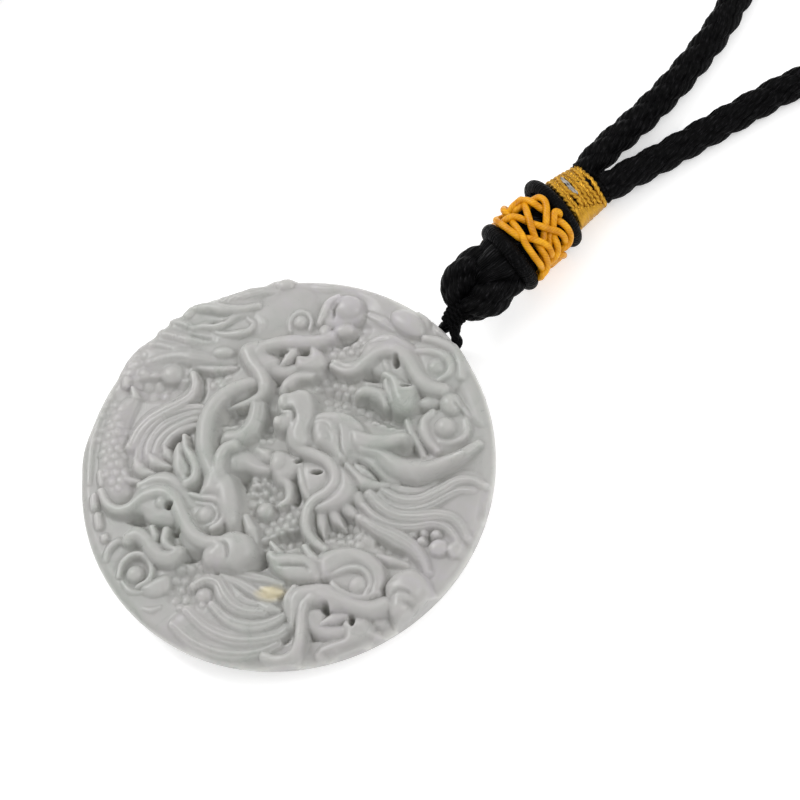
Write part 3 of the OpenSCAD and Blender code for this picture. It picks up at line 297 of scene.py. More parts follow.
    ("hook_4", (0.6, 0.9, 0.7), (0.36, 0.6, 0.36), 0, ((-22, 1.7), (-21.3, 0.7), (-20, 0.3))),
    ("body_l", (0.3, 0.6, 0.5), (1.68, 2.28, 1.68), 0,
     ((-20.6, 12.6), (-22.6, 10.4), (-23.6, 7.4), (-23.9, 4), (-23.6, 1), (-22.6, -1.6))),
    # right top dragon
    ("arch_r", (1.4, 2.1, 2), (0.48, 1.14, 1.08), 0,
     ((6.6, 14), (8.2, 13), (9.8, 13.1), (11.2, 14.2), (12.8, 15.2), (14.6, 15.4), (16.2, 14.4),
      (17.2, 12.7), (18.1, 10.9), (19.4, 9.4), (21.2, 8.7))),
    ("arch2_r", (0.9, 1.4, 1), (0.48, 0.72, 0.6), 0,
     ((10.7, 15.6), (12.4, 16.8), (14.4, 17), (16.2, 16), (17.6, 14.4))),
    ("lid_r", (1.2, 1.5, 1.3), (0.5, 0.8, 0.5), 0,
     ((18, 14.6), (19.8, 14.4), (21.4, 13.7), (22.4, 12.4), (22.2, 10.9), (20.9, 10.1))),
    ("lid_t", (0.6, 0.8, 0.6), (0.3, 0.42, 0.3), 0,
     ((0.9, 19.8), (1, 21.4), (2.1, 22.4), (3.4, 22), (3.9, 20.8), (3.6, 19.7))),
    ("fold_r", (1, 1.3, 1), (0.4, 0.5, 0.4), 0, ((13.6, 14.2), (13.8, 13), (14.4, 11.8))),
    ("brow_r", (1.1, 1.3, 1.1), (0.6, 0.9, 0.7), 0,
     ((19.2, 16.4), (21.2, 15.6), (23, 14.2), (23.8, 12.2), (23.8, 10.2))),
    ("curl_r", (0.8, 1.1, 0.9), (0.6, 0.96, 0.84), 0, ((10, 9.2), (11.3, 9.5), (12.7, 8.6), (13.8, 7.3))),
    ("claw_r", (1.4, 1.6, 1.5), (0.36, 0.48, 0.48), 0, ((13.7, 10.8), (14, 9.4), (14.5, 7.8))),
    ("knob_tail_r", (0.9, 0.8, 0.4), (0.9, 0.8, 0.4), 0, ((22.8, 6.4), (23.9, 5.2), (24.9, 4))),
    ("ring_r1", (0.9, 1.1, 0.9), (0.6, 0.9, 0.6), 0,
     ((19.8, 5.5), (18.7, 4.5), (18.6, 3), (19.2, 1.4), (20.2, 0))),
    ("ring_r2", (0.7, 0.9, 0.7), (0.5, 0.6, 0.5), 0,
     ((24.2, 3.8), (24.3, 2.4), (23.5, 1.3), (22, 0.8), (20.8, 1.1))),
    ("reed_r1", (0.4, 0.5, 0.3), (0.5, 0.65, 0.5), 0,
     ((16.4, 4.6), (16.9, 2.8), (17.8, 1), (18.4, -0.6))),
    ("twig_t", (0.5, 0.7, 0.5), (0.5, 0.8, 0.5), 1, ((11.8, 20.8), (13.6, 19.6), (15.2, 18.2))),
    ("fold_rt1", (0.4, 0.6, 0.3), (0.36, 0.6, 0.36), 0, ((18.4, 20.2), (19.4, 18.8), (19.6, 17))),
    ("fold_rt2", (0.3, 0.5, 0.3), (0.36, 0.6, 0.36), 0, ((20.2, 18.4), (21, 17.2), (22.4, 15.8))),
    # lower left
    ("swirl_1", (0.6, 0.9, 0.5), (0.3, 0.48, 0.36), 0,
     ((-22.8, -12.8), (-22.4, -11.2), (-21.2, -10.1), (-19.8, -10), (-18.7, -11), (-18.3, -12.5),
      (-18.8, -13.9), (-20.2, -14.6))),
    ("swirl_2", (0.4, 0.7, 0.4), (0.36, 0.6, 0.48), 0,
     ((-24.6, -10.4), (-24.2, -8.9), (-22.9, -7.9), (-21.6, -8.6))),
    ("swirl_3", (0.2, 0.35, 0.2), (0.3, 0.5, 0.3), 0, ((-22.3, -13.8), (-21.2, -15.2), (-19.6, -15.6))),
    ("swirl_4", (0.15, 0.3, 0.15), (0.3, 0.5, 0.3), 0, ((-19.3, -17.9), (-18.4, -18.2), (-17.2, -17.9))),
    ("rim_line_1", (0.1, 0.3, 0.2), (0.4, 0.6, 0.5), 1,
     ((-23.6, 13.6), (-25.2, 10.8), (-26.3, 7.6), (-26.8, 4), (-26.9, 0.8))),
    ("margin_r1", (0.2, 0.35, 0.1), (0.6, 0.9, 0.6), 0, ((24.4, -8.6), (24.9, -11.4), (24.4, -14.4))),
    ("margin_r2", (0.1, 0.25, 0.1), (0.5, 0.8, 0.5), 0, ((26, -6.4), (26.5, -9.6), (26, -12.6))),
)

# Domes: rise, centre, radii, turn in degrees, drop at the edge
DOMES = (
    ("snout_c", 2.9, (1.9, 8.6), (2.35, 2.5), 10, 1.7),
    ("nostril_c", 2.7, (-0.1, 6.5), (1.25, 1.25), 0, 1.2),
    ("nostril_tip_c", 2.9, (-0.9, 6.8), (0.6, 0.7), 0, 0.6),
    ("head_c", 1.9, (8, 3), (2.8, 3.6), 20, 1),
    ("eye_c", 2.2, (5, 3.6), (1.15, 1.15), 0, 0.9),
    ("cheek_c", 1.7, (6.9, -3.8), (2.5, 3.3), -18, 1.5),
    ("mouth_c", 1.5, (3.6, -2), (1.8, 2.7), 15, 1),
    ("lobe_c", 2, (-0.9, 0.9), (1.2, 1.5), -15, 1),
    ("gum_c", 1.3, (0.8, -0.4), (1.9, 1.5), 0, 1),
    ("big_pebble", 0.5, (-2.9, -5.9), (1.15, 1.15), 0, 0.7),
    ("head_l", 2.5, (-7.9, -3.6), (1.5, 4), 8, 1.2),
    ("eye_l", 2, (-10.9, -5.5), (1.2, 1.25), 0, 1),
    ("snout_l", 2.9, (-6.8, -10.9), (2.5, 2.6), 0, 1.8),
    ("nostril_l", 2.7, (-9.9, -11.3), (1.5, 1.7), 0, 1.4),
    ("muzzle_l", 1.5, (-17, -3.6), (1.9, 1.7), -20, 0.9),
    ("wart_l", 2.1, (-16.8, -3), (0.85, 0.9), 0, 0.7),
    ("cheek_b", 1.6, (6.6, -14.6), (3.2, 1.8), -8, 0.9),
    ("eye_b", 2.1, (9.2, -17.6), (1.25, 1.3), 0, 0.9),
    ("snout_b", 2.9, (15.6, -18.9), (2.7, 2.9), 0, 1.8),
    ("nostril_b", 2.8, (14.5, -21.1), (1.5, 1.7), 0, 1.4),
    ("tooth_b3", 1, (12, -23), (1.1, 0.9), 0, 0.7),
    ("ball_b", 0.9, (-11.2, -16.9), (1.25, 1.2), 0, 1),
    ("snout_t", 1.75, (8.9, 22.3), (2, 1.75), -20, 1),
    ("chin_t1", 1.35, (5.7, 18.9), (0.9, 1.2), 0, 0.8),
    ("chin_t2", 1.3, (8.3, 18.9), (1.6, 1), 0, 0.9),
    ("eye_t", 1, (2.4, 20.9), (0.95, 0.95), 0, 0.7),
    ("head_t", 0.5, (-1.4, 21.6), (3.4, 2.8), 0, 0.5),
    ("tooth_t4", 1.4, (4, 14.6), (2, 1.4), 0, 1),
    ("ball_tl", 0.75, (-15.4, 15.5), (1.55, 1.45), 0, 0.8),
    ("snout_r", 1.9, (16.1, 7.7), (2, 2.1), 0, 1.4),
    ("muzzle_r", 1, (15.4, 11.6), (1.6, 2.2), 25, 0.8),
    ("eye_r", 1.4, (20.5, 12), (1.15, 1.2), 0, 0.8),
    ("knob_r", 1.8, (22.2, 6.5), (1.35, 1.7), 20, 1.1),
    ("lump_r", 1, (19.5, 6.9), (1.6, 0.9), 0, 0.8),
    ("ball_r", 1.8, (21.4, 3.2), (1.45, 1.45), 0, 1.3),
    ("lobe_rt", 1.35, (17, 18.8), (2.8, 1.5), -40, 0.9),
    ("boss_tl", 1.1, (-8.3, 17.8), (1.5, 0.8), -8, 0.7),
    ("bead_top", 0.6, (0.4, 26.8), (1.3, 0.9), 0, 0.6),
    ("ball_ll", 0.9, (-20.6, -12.8), (1.15, 1.15), 0, 0.9),
    ("patch_ll", 0.3, (-17.8, -15.2), (1.8, 1.3), 0, 0.3),
    ("low_bead_1", 0.9, (19.9, -13.7), (1.2, 1.1), 0, 0.4),
    ("low_bead_2", 0.8, (22, -14.2), (1, 1), 0, 0.3),
    ("bead_r1", 0.7, (16.6, -11.5), (0.55, 0.5), 0, 0.5),
    ("bead_r2", 0.8, (18, -11.4), (0.5, 0.5), 0, 0.5),
    ("bead_r3", 0.8, (17.7, -12.5), (0.55, 0.55), 0, 0.5),
    ("bead_r4", 0.8, (19.6, -11.8), (0.65, 0.55), 0, 0.5),
    ("bead_m1", 0.3, (10.8, -11.8), (1.1, 1), 0, 0.7),
)

# Hollows in the ground: depth below it, centre, radii, turn
HOLLOWS = (
    (2.2, (-6.3, -1.6), (1.9, 2.6), 20), (1.4, (-6.9, 7.7), (2.6, 1.7), 0),
    (1.9, (1.4, -4.4), (1, 2.4), 8), (1.7, (0.4, -11.4), (3.4, 1.2), 5),
    (1.6, (3.6, -11.9), (1.6, 1.4), 0), (2, (-4, -14), (2.6, 1.4), 10),
    (1.6, (-12.8, -11.6), (2, 1.4), -10), (1.5, (-20, -5.6), (2.2, 1.2), -25),
    (2.2, (-0.6, 12.3), (1.7, 1.6), 30), (1.3, (8.2, 17.2), (2.2, 1.6), 0),
    (1.6, (12, 11.1), (2.6, 1), -20), (1.7, (11.6, 6.6), (3.2, 2.2), -25),
    (1.5, (14.6, 4.4), (2.6, 1.2), -25), (2, (18.6, 5.6), (2.8, 1.2), 0),
    (1, (17.2, 0.4), (3.6, 1.8), -5), (2, (18, -4.4), (3.4, 1.2), 5), (1.2, (-3, -6), (3.6, 4.6), 0),
    (0.9, (-1.8, 5.6), (2.2, 2), 0), (1.1, (7.4, 10.2), (3.6, 2.4), -15), (1.4, (7, -10), (3.2, 2), -15),
    (0.9, (13.4, -12.8), (3.4, 1.4), -40), (0.8, (18.2, -12.2), (2.6, 1.6), -15),
    (1.8, (12.9, -16.2), (1.2, 0.8), 0), (1.5, (4.6, -24.8), (3, 0.9), 0),
    (1.2, (-14.6, 5), (1.8, 2.4), 0), (0.8, (-9.4, 14.6), (3.4, 1.4), 5),
    (0.9, (-17, 12.8), (4.2, 1.8), -5), (0.9, (-11.6, 12.4), (1.2, 2.2), 0),
    (0.8, (-13.6, -16), (2.8, 2.6), 0), (0.9, (21.6, 3), (3.4, 2.8), 0),
    (0.8, (2.4, 20.8), (1.8, 1.6), 0), (1.2, (-1.6, -24.8), (2, 0.9), 0),
    (0.5, (-19.8, -12.2), (3, 2.8), 0), (0.6, (9.6, 18.2), (2.6, 1.6), 0),
    (1, (6.8, 8.4), (2.6, 1.6), -30),
)

# Drilled holes: height of the bottom over the back, centre, radii, turn
HOLES = (
    (5.1, (4.3, -1.5), (0.68, 0.36), -5), (5.5, (1.8, 0.4), (0.45, 0.32), 20),
    (4.9, (-15.6, -4), (0.54, 0.50), 0), (5.1, (-14.8, -7.6), (0.59, 0.36), 0),
    (4.9, (4.9, -20.5), (0.50, 0.59), 20), (4.9, (8.3, -22.6), (0.41, 0.63), 10),
    (5.1, (16.6, 9.5), (0.63, 0.36), 5), (5.7, (15.3, 13.2), (0.41, 0.81), 0),
    (5.7, (0, 16.6), (0.81, 0.32), -15), (5.5, (2.8, 16.2), (0.63, 0.36), -15),
)

# Engraved lines: depth, half width, points
GROOVES = (
    (0.7, 0.3, ((-0.7, 8.4), (0.2, 8), (1.2, 7.9), (1.6, 7), (1.3, 6.2))),
    (0.5, 0.3, ((6.9, 0.6), (7.8, -0.8), (8.8, -2.2), (9.7, -3.7))),
    (0.4, 0.25, ((7.3, 5), (7.4, 3.2), (7.5, 1.6), (8.2, 0.2))),
    (0.35, 0.35, ((-9, -9.6), (-8, -10.4), (-7.7, -11.6), (-8.1, -12.9))),
    (0.35, 0.35, ((13.2, -20.2), (14.4, -19.4), (15.8, -19.7), (16.8, -20.7))),
    (0.25, 0.3, ((14.8, -20.8), (16, -21.4), (17, -22))),
    (0.5, 0.3, ((-1.4, -13.7), (0.6, -13.9), (2.2, -14.2), (2.9, -15))),
    (0.5, 0.3, ((-14.3, 4.4), (-13.6, 2.9), (-13, 1.6), (-13.4, 0.6))),
    (0.4, 0.25, ((22.6, 6.9), (23.4, 5.6), (24, 4.8))),
    (0.5, 0.3, ((7.8, 23.4), (7, 22.4), (6.8, 21))),
    (0.8, 0.35, ((-10.6, 22.9), (-9.2, 22.8), (-7.8, 23))),
    (0.5, 0.35, ((-13.6, 21.6), (-11.8, 20.9), (-9.6, 20.3))),
    (0.5, 0.3, ((10, -0.9), (11.2, -1.5), (12.1, -2.6), (12.6, -3.3))),
)

# Masses: rise, width of the rounded edge, outline
MASSES = (
    # low ground that carries the locks of hair
    ("locks_r", 0.5, 1.4,
     ((11.6, -4.2), (14.4, -4.6), (18, -5), (20.4, -4.4), (23.4, -3.4), (26, -4.4), (26.8, -7.4),
      (25.6, -12), (23.2, -15.4), (21.4, -15.8), (20.9, -12.2), (18.8, -10.9), (16, -10.9), (18.2, -14),
      (18.9, -17), (17.4, -16.4), (14.8, -13.2), (11, -10.6), (9.4, -8.2), (9.8, -5.4))),
    ("locks_b", 0.45, 1.6,
     ((-9.2, -13.6), (-6.4, -13.9), (-3, -14.8), (-0.4, -16.2), (-0.6, -19.4), (0.2, -22.6),
      (-0.8, -24.4), (-4, -25.8), (-8.6, -25.4), (-13.6, -23.4), (-16, -20.4), (-13.4, -18.4),
      (-10.4, -17.6), (-9.4, -15.6))),
    ("locks_t", 0.35, 2,
     ((-2.6, 26.4), (-8, 26), (-13, 24.6), (-17, 22.4), (-19.6, 19.4), (-18.4, 16.2), (-12.4, 16),
      (-6.8, 15.4), (-6.2, 18), (-3.4, 19.8), (-2.4, 23))),
    ("fan_l", 0.7, 1.6,
     ((-12.2, 11.2), (-12.6, 15.4), (-13.2, 13.2), (-15.4, 11.6), (-18.6, 10.4), (-20.9, 8), (-21.6, 5),
      (-21, 1.8), (-19, 1.6), (-16.2, 2), (-16, 4.4), (-14.6, 6.4), (-12.2, 6.6))),
    ("ring_r", 0.6, 1.5,
     ((18, 4), (19.4, 5.6), (21.6, 5.6), (24, 4.8), (25.2, 3), (24.8, 1.2), (23.4, -0.2), (20.6, -0.8),
      (19.4, 0.2), (18.3, 2.2))),
    ("socket_r", 0.9, 1.8,
     ((17.6, 15.4), (20.4, 15.6), (22.8, 14.2), (24.2, 12.2), (24.4, 9.6), (22.6, 8), (19.8, 8.6),
      (18.2, 10.6))),
    ("margin_t", 0.35, 3,
     ((4, 26.4), (10, 25.2), (16, 22), (20, 18.6), (18.4, 15.6), (14.4, 17.6), (11.4, 19.4), (11.8, 22),
      (9.6, 24.6), (6, 24.6))),
    # central dragon
    ("snout_c", 2.8, 1,
     ((-0.9, 9.5), (-0.3, 10.6), (1.3, 10.7), (2.1, 11), (3.5, 10.4), (4.1, 8.6), (4, 6.6), (3.4, 5),
      (3.4, 3.2), (2.4, 2.4), (1.1, 3), (0.6, 4.6), (1.2, 6.6), (0.8, 7.8), (-0.7, 8.2))),
    ("head_c", 2.1, 1.5,
     ((3.2, 4.4), (3.6, 6), (4.9, 6.9), (6.6, 7.1), (8.3, 6.5), (10, 4.8), (11.6, 3.3), (13.6, 2.9),
      (14.6, 1.8), (13.6, 0.4), (12.4, -0.6), (10.8, 0.6), (9, 0.4), (7.6, -0.8), (6.6, -0.6), (5.6, 1.2),
      (3.8, 2.6))),
    ("short_horn_c", 2.5, 0.9,
     ((9, 4.2), (11.2, 3.5), (13.6, 3), (15.6, 3.1), (16.4, 2.4), (15.6, 1.6), (13.8, 0.9), (11, 1),
      (9, 2))),
    ("long_horn_c", 2.5, 1.5,
     ((9.4, 2.4), (12.6, 1.4), (14.6, 0.1), (16.6, -0.8), (19, -1.1), (21.4, -0.6), (22.8, -0.3),
      (23.6, -0.2), (23.8, -0.6), (23.2, -1.4), (22, -2.4), (20, -3.4), (17.2, -3.6), (14.8, -3.3),
      (13.4, -1.8), (12.2, -0.4), (9.6, 0.6))),
    ("cheek_c", 2, 1.5,
     ((6.9, -0.2), (7.9, -0.8), (8.9, -2.3), (9.5, -4), (8.9, -5.5), (7.4, -6.7), (5.2, -7.1),
      (3.8, -6.8), (3.6, -6), (5.6, -4.6), (6.8, -3))),
    ("jaw_c", 1.6, 1.4,
     ((1.9, -0.4), (2.6, 0.4), (4.4, 0), (5.8, -1), (6.2, -2.6), (5.2, -4), (3.4, -4.9), (2.4, -4.4),
      (1.9, -2.4))),
    ("gum_c", 1.7, 1,
     ((-2.1, 1.6), (-1.4, 2.5), (-0.2, 2.3), (1.2, 1.4), (2.4, 0.6), (2, -0.6), (0.8, -1.8), (-0.4, -2),
      (-1.4, -1.4), (-2, 0.2))),
    # left dragon
    ("face_l", 1.6, 1.2,
     ((-21.2, -2.6), (-20.3, -0.8), (-19.2, 0.6), (-17.8, 1.3), (-16.2, 1.4), (-14.8, 0.6), (-13.8, -1.2),
      (-13, -3.2), (-12.6, -5.2), (-12.8, -7.2), (-11.8, -9), (-11.6, -10.8), (-13.4, -10.2),
      (-14.4, -8.6), (-15.2, -6.6), (-17.4, -6.2), (-19.4, -4.7), (-21.4, -4.2))),
    ("head_l", 2.2, 1.4,
     ((-11.4, 2.4), (-10.2, 2.8), (-8.8, 1.4), (-8.2, -0.4), (-7, -1.9), (-6.3, -3.6), (-6.1, -5.6),
      (-6.4, -7.4), (-7.6, -8.1), (-8.5, -7), (-8.4, -5.4), (-8.9, -4.1), (-10.2, -3.1), (-11.8, -2.6),
      (-11.5, -1.4), (-11.2, 0))),
    ("temple_l", 1.2, 1,
     ((-13, -2.4), (-10.2, -2.8), (-8.6, -4), (-8, -5.4), (-8.2, -7.2), (-9.6, -8.4), (-11.8, -7.8),
      (-13, -5.6))),
    ("snout_l", 2.8, 1.7,
     ((-11.1, -10.9), (-10.4, -9.6), (-9.4, -8.7), (-8, -8), (-6.4, -8.1), (-5, -9), (-4.2, -10.4),
      (-4.2, -11.7), (-5.1, -12.9), (-6.6, -13.7), (-8, -13.5), (-9.6, -13.2), (-10.8, -12.4))),
    ("jaw_l", 1.6, 1.1,
     ((-22.3, -7.3), (-21.2, -6.3), (-20.2, -6), (-19, -6.6), (-18, -7.9), (-16.9, -9.6), (-15.4, -9.9),
      (-14.2, -9.6), (-14.3, -10.9), (-16.2, -11.8), (-17.8, -11.1), (-19.1, -9.6), (-20.4, -8.5),
      (-21.6, -8.2))),
    ("ear_l", 1.7, 1,
     ((-14.3, 5.4), (-15.2, 4.2), (-15.2, 2), (-14.9, 0.6), (-13.8, -0.2), (-12.6, 0.8), (-12.8, 2.4),
      (-13.5, 4))),
    ("leaf_1", 1.3, 0.8,
     ((-20.7, 3.7), (-20.8, 2.3), (-20.2, 1.1), (-18.9, 0.6), (-17.6, 1.2), (-18.8, 2.1), (-19.9, 3.4))),
    ("leaf_2", 1.2, 0.8,
     ((-18.8, 4.2), (-18.8, 2.8), (-17.9, 1.8), (-16, 1.5), (-15.4, 1.9), (-16.7, 3), (-17.9, 4))),
    ("leaf_3", 1.1, 0.7, ((-16.6, 5.1), (-16.7, 3.8), (-15.9, 2.7), (-15.2, 3), (-15.5, 4.2))),
    ("leaf_4", 0.8, 0.7, ((-22.1, 1.8), (-22, 0.5), (-21.2, -0.3), (-19.9, 0.5), (-20.8, 0.9))),
    # strands between the heads
    ("mane_m1", 1.6, 1.2,
     ((-4.6, 10.2), (-5, 8.4), (-5.5, 7.1), (-6.6, 6.3), (-8.3, 6.1), (-8.8, 4.6), (-7.2, 3.9),
      (-5.6, 3.8), (-4.2, 5), (-3.1, 6.6), (-2.9, 8.4), (-3.2, 10))),
    ("mane_m2", 1.2, 1.5,
     ((-8.2, 3.2), (-6.6, 3.6), (-5, 3), (-4, 1.8), (-3, 0.8), (-1.8, 0.2), (-2, -0.8), (-3.8, -0.7),
      (-5.4, -0.2), (-8, 0.2))),
    ("mane_m3", 1.1, 0.8, ((-4, 3.2), (-3, 3), (-1.8, 2.6), (-1.6, 1), (-2.4, 0.8), (-3.4, 1.8))),
    # bottom dragon
    ("ear_b", 1.8, 1.2,
     ((-2.6, -12.2), (-1.6, -12), (0.6, -12.1), (2.4, -12.6), (3.7, -13.8), (4.3, -15.2), (4, -16.3),
      (2.6, -16.6), (0.6, -16.3), (-0.9, -15.4), (-2, -14.5), (-2.5, -13.4))),
    ("brow_b", 1.9, 1.3,
     ((3.9, -13.6), (5, -12.6), (6.6, -12.1), (8.6, -12.2), (10.4, -13), (11.8, -14.4), (12.5, -16.2),
      (12.3, -18.2), (11.2, -19.4), (10.9, -17.6), (10.2, -16), (8.8, -15.2), (7, -15.6), (5.2, -16.5),
      (4, -15.8))),
    ("socket_b", 1.2, 0.8,
     ((4.8, -16.6), (7, -15.4), (8.8, -15), (10.4, -15.8), (11.2, -17.6), (10.8, -19.4), (9, -19.4),
      (7, -18))),
    ("face_b", 2, 1.3,
     ((-0.4, -18.6), (0.8, -17), (3, -16.7), (5.4, -17), (8, -18.8), (10.4, -19.8), (12.8, -19.4),
      (13.6, -20.6), (13, -22.4), (10, -22.2), (7.6, -21.3), (5.4, -20.9), (4.2, -19.6), (2.8, -19.4),
      (1.6, -21), (0.4, -22.8), (-0.4, -20.8))),
    ("snout_b", 2.7, 1.7,
     ((12.6, -18.2), (13.4, -16.9), (14.8, -16), (16.4, -15.9), (17.8, -17.2), (18.4, -19.2),
      (18.2, -21.2), (16.8, -22.4), (14.8, -22.9), (13.4, -22), (13, -20.4))),
    ("chin_b", 1.3, 1.2,
     ((7, -23.2), (8.6, -22.5), (10.2, -22.8), (11.2, -24.4), (11.7, -25.6), (9.6, -26.6), (6.6, -27),
      (3.7, -27.1), (4, -25.9), (5.6, -25.1), (7, -24.7))),
    ("cheek_b", 1.2, 0.9,
     ((2.4, -20.4), (4.4, -20.6), (5, -22), (4.4, -23.4), (2.9, -23.6), (2.2, -22.4))),
    # top dragon
    ("mouth_t", 1.7, 1.6,
     ((-5.4, 18.9), (-6, 17), (-5.4, 15.4), (-3.9, 14.4), (-3.3, 12.8), (-1.9, 13.4), (-0.4, 14.6),
      (-0.4, 15.9), (-1.8, 17), (-1, 17.2), (2, 16.9), (5.2, 16.9), (6.8, 17.4), (6.4, 18.8), (3, 19),
      (0, 19.1))),
    ("teeth_t", 1.6, 1.1,
     ((1.9, 16), (3.2, 15.4), (3.6, 16.8), (4.5, 16.9), (5.6, 15.6), (6, 14.2), (5, 13.2), (3.2, 13.3),
      (1.7, 13.9), (1.5, 15))),
    ("tooth_t", 1.6, 0.7,
     ((-0.5, 14.7), (0.1, 15.9), (0.3, 16.9), (1.9, 16.9), (1.7, 15.8), (0.6, 14.9))),
    ("tongue_t", 1.5, 0.9,
     ((-0.4, 11), (-0.3, 12.2), (0.7, 13), (2, 13.4), (4.4, 13), (3.8, 12), (2.2, 11.8), (1, 10.9))),
    ("snout_t", 1, 1.2,
     ((5, 20.6), (5.5, 22.2), (6.6, 23.4), (8.2, 24.2), (9.8, 23.8), (11, 22.6), (11.5, 21), (10.6, 19.6),
      (8.4, 18.9), (6.2, 19.2))),
    ("forehead_t", 0.45, 2.8,
     ((-4.4, 20), (-3.8, 24), (0, 26), (4, 25.2), (5.2, 22.6), (4.6, 19.6), (0, 19.2))),
    # right top dragon
    ("arch_r", 1.6, 1.3,
     ((6.2, 14.4), (7.6, 13.3), (9.6, 12.4), (11.6, 12.5), (13, 13.4), (14.6, 14.6), (16.2, 13.4),
      (17.2, 11.4), (18, 10.2), (18.2, 8.4), (20.6, 7.9), (21.4, 8.6), (20.8, 10.2), (19.4, 11),
      (18.6, 13.2), (17.6, 15.6), (15.6, 17), (13.2, 16.8), (11.2, 16.4), (10.2, 14.8), (8.6, 14.2),
      (7, 15))),
    ("snout_r", 2, 1.4,
     ((13.9, 10.6), (14.1, 8.6), (14.8, 6.9), (15.8, 5.9), (17, 6), (17.8, 7.4), (18, 9), (17.4, 10),
      (16.2, 10.4), (15.2, 11.6), (13.6, 12.4), (13, 11.6))),
    ("curl_r", 1.4, 1,
     ((9.5, 9), (9.9, 10.1), (11.3, 10.5), (12.6, 10), (13.8, 9.2), (14.2, 7.4), (13.4, 6.6), (12.4, 8.1),
      (10.9, 8.7))),
    ("lobe_rt", 0.9, 1.3,
     ((14.8, 20.6), (15.3, 19.2), (16.3, 17.9), (17.7, 17), (18.9, 17.7), (18.9, 19.2), (17.8, 20.4),
      (16.2, 21.1))),
    ("brow_r", 0.6, 2,
     ((18, 15.4), (20.8, 15.6), (23.2, 14.2), (25, 11.4), (26.4, 8), (27.2, 4.6), (27, 2.6), (25.2, 2.8),
      (24.2, 5.4), (23.2, 8.2), (21.6, 9.6), (20, 12))),
    ("cheek_r", 0.9, 0.9,
     ((11.6, 12.6), (12.6, 11.6), (14.2, 10.8), (16.4, 10.4), (17.4, 11.4), (16.6, 13.6), (15.2, 15),
      (13.4, 14.6), (12.2, 13.6))),
    # left and lower left
    ("body_l", 0.9, 1.8,
     ((-19.6, 12.6), (-21.6, 12.8), (-23.6, 11), (-25, 8), (-25.6, 4.4), (-25.6, 1), (-24.6, -2),
      (-22.8, -2.8), (-21, -1.6), (-21.2, 0.8), (-21.6, 3.6), (-21.6, 6.6), (-20.8, 9.4))),
    ("patch_ll", 0.5, 0.9,
     ((-19.8, -15.2), (-18.4, -14.2), (-17, -13.6), (-15.8, -13.7), (-15.6, -15.2), (-16.2, -16.2),
      (-18, -16.6))),
    ("plate_1", 1, 0.5, ((-25.7, 2.2), (-24.9, 2.4), (-24.5, 0.2), (-25.4, 0))),
    ("plate_2", 0.9, 0.5, ((-26.6, -1.2), (-25.7, -0.8), (-25.5, -3), (-26.4, -3.2))),
    ("plate_3", 0.8, 0.5, ((-26.1, -3.9), (-25.2, -3.7), (-24.9, -5.8), (-25.8, -6))),
    ("plate_4", 0.7, 0.5, ((-25.2, -7), (-24.3, -6.8), (-24.1, -7.6), (-24.9, -8.1))),
    ("plate_5", 0.8, 0.5, ((-22, 15.7), (-21.1, 15.4), (-21.4, 14), (-22.3, 14.3))),
    ("plate_6", 0.9, 0.5, ((-21.1, 14.3), (-20.4, 13.8), (-19.8, 12.3), (-20.9, 12.2))),
)

# Fields of small beads: rise, size of a bead, centre, radii, turn
BEADS = (
    (0.42, 0.62, (-1.8, -6.4), (3.6, 5), 10), (0.4, 0.62, (6.9, 10), (3.6, 2.6), -20),
    (0.4, 0.62, (8.2, -10.6), (3.2, 2.2), -20), (0.4, 0.55, (-3.4, -2.4), (1.8, 1.4), 0),
    (0.38, 0.7, (-13, -15.8), (3.4, 3.8), 0), (0.35, 0.6, (12.4, 6.3), (3.6, 2.2), -25),
    (0.3, 0.75, (-17.2, 14), (4.6, 2.2), -5), (0.28, 0.65, (-10.4, 14), (3, 1.9), 0),
    (0.32, 0.6, (-10.8, -19.6), (3, 1.6), 0), (0.3, 0.6, (-7.4, 7.6), (2.2, 1.4), 0),
    (0.35, 0.6, (8.6, 16.4), (2.6, 2), 0), (0.35, 0.55, (-2.6, 5), (2, 1.8), 0),
    (0.25, 0.6, (13.6, -13.4), (3.2, 1.2), -40),
)

# Scaled skin: rise, size of a scale, centre, radii, turn
SCALES = (
    (0.2, 0.62, (-23.3, 6), (2.1, 7.4), 6), (0.14, 0.7, (-20.2, 17.6), (3.4, 1.8), 50),
)

# The relief: each form of the tables changes the heights z over the places x, y

SKIRT = 1.45           # how far a form goes, in half widths; past 1 it is a steep side
STEEP = 2.6            # slope of that side
SEAM = 0.3             # height over which two forms run into each other
LOCK_DROP = 0.55       # how round a lock of hair is
HAIR_DEPTH = 0.2       # how deep its lines are
HAIR_FINE = 0.6        # half width under which the lines get fainter
BEAD_PITCH = 2.1       # between two beads of a row, in bead sizes
BEAD_ROWS = 1.85       # between two rows
BEAD_ROWS_TRIED = 1.8  # a little less, for counting the rows that may fit
BEAD_WANDER = (0.25, 0.2)     # most that a bead is off its place, along its row and across it
BEAD_SIZES = (0.85, 1.15)     # least and most of its size
LINE_STEP = 0.35              # between the places of a strand's line
OUTLINE_STEP = 0.5            # and of a mass's outline
MASS_READ_UNDER = 0.5  # how far under its top a mass's outline was read
MASS_SUNK = 0.2        # how far under the ground its edge may end
MASS_ROUND = 1.1       # most drop of the edge, over its width
STRAND_ROUND = (0.25, 0.9)    # drop of a round strand: a fixed part, and a share of its half width
DOME_READ_UNDER = 0.4         # share of its drop at which a dome's outline was read
HOLLOW_SPREAD = 1.15          # how far a hollow's soft edge goes, over its radii
HOLE_WALL = (0.6, 0.7)        # where a hole's wall starts, and its width, over the radii
HOLE_READ_AT = 1.0            # rise at which holes were read
GROOVE_READ_AT = 1.8          # rise at which grooves were read
GROOVE_ENDS = 4.0             # a groove gets shallow over its first and its last quarter
GROOVE_LEAST = 0.2            # share of the depth that is left at the ends


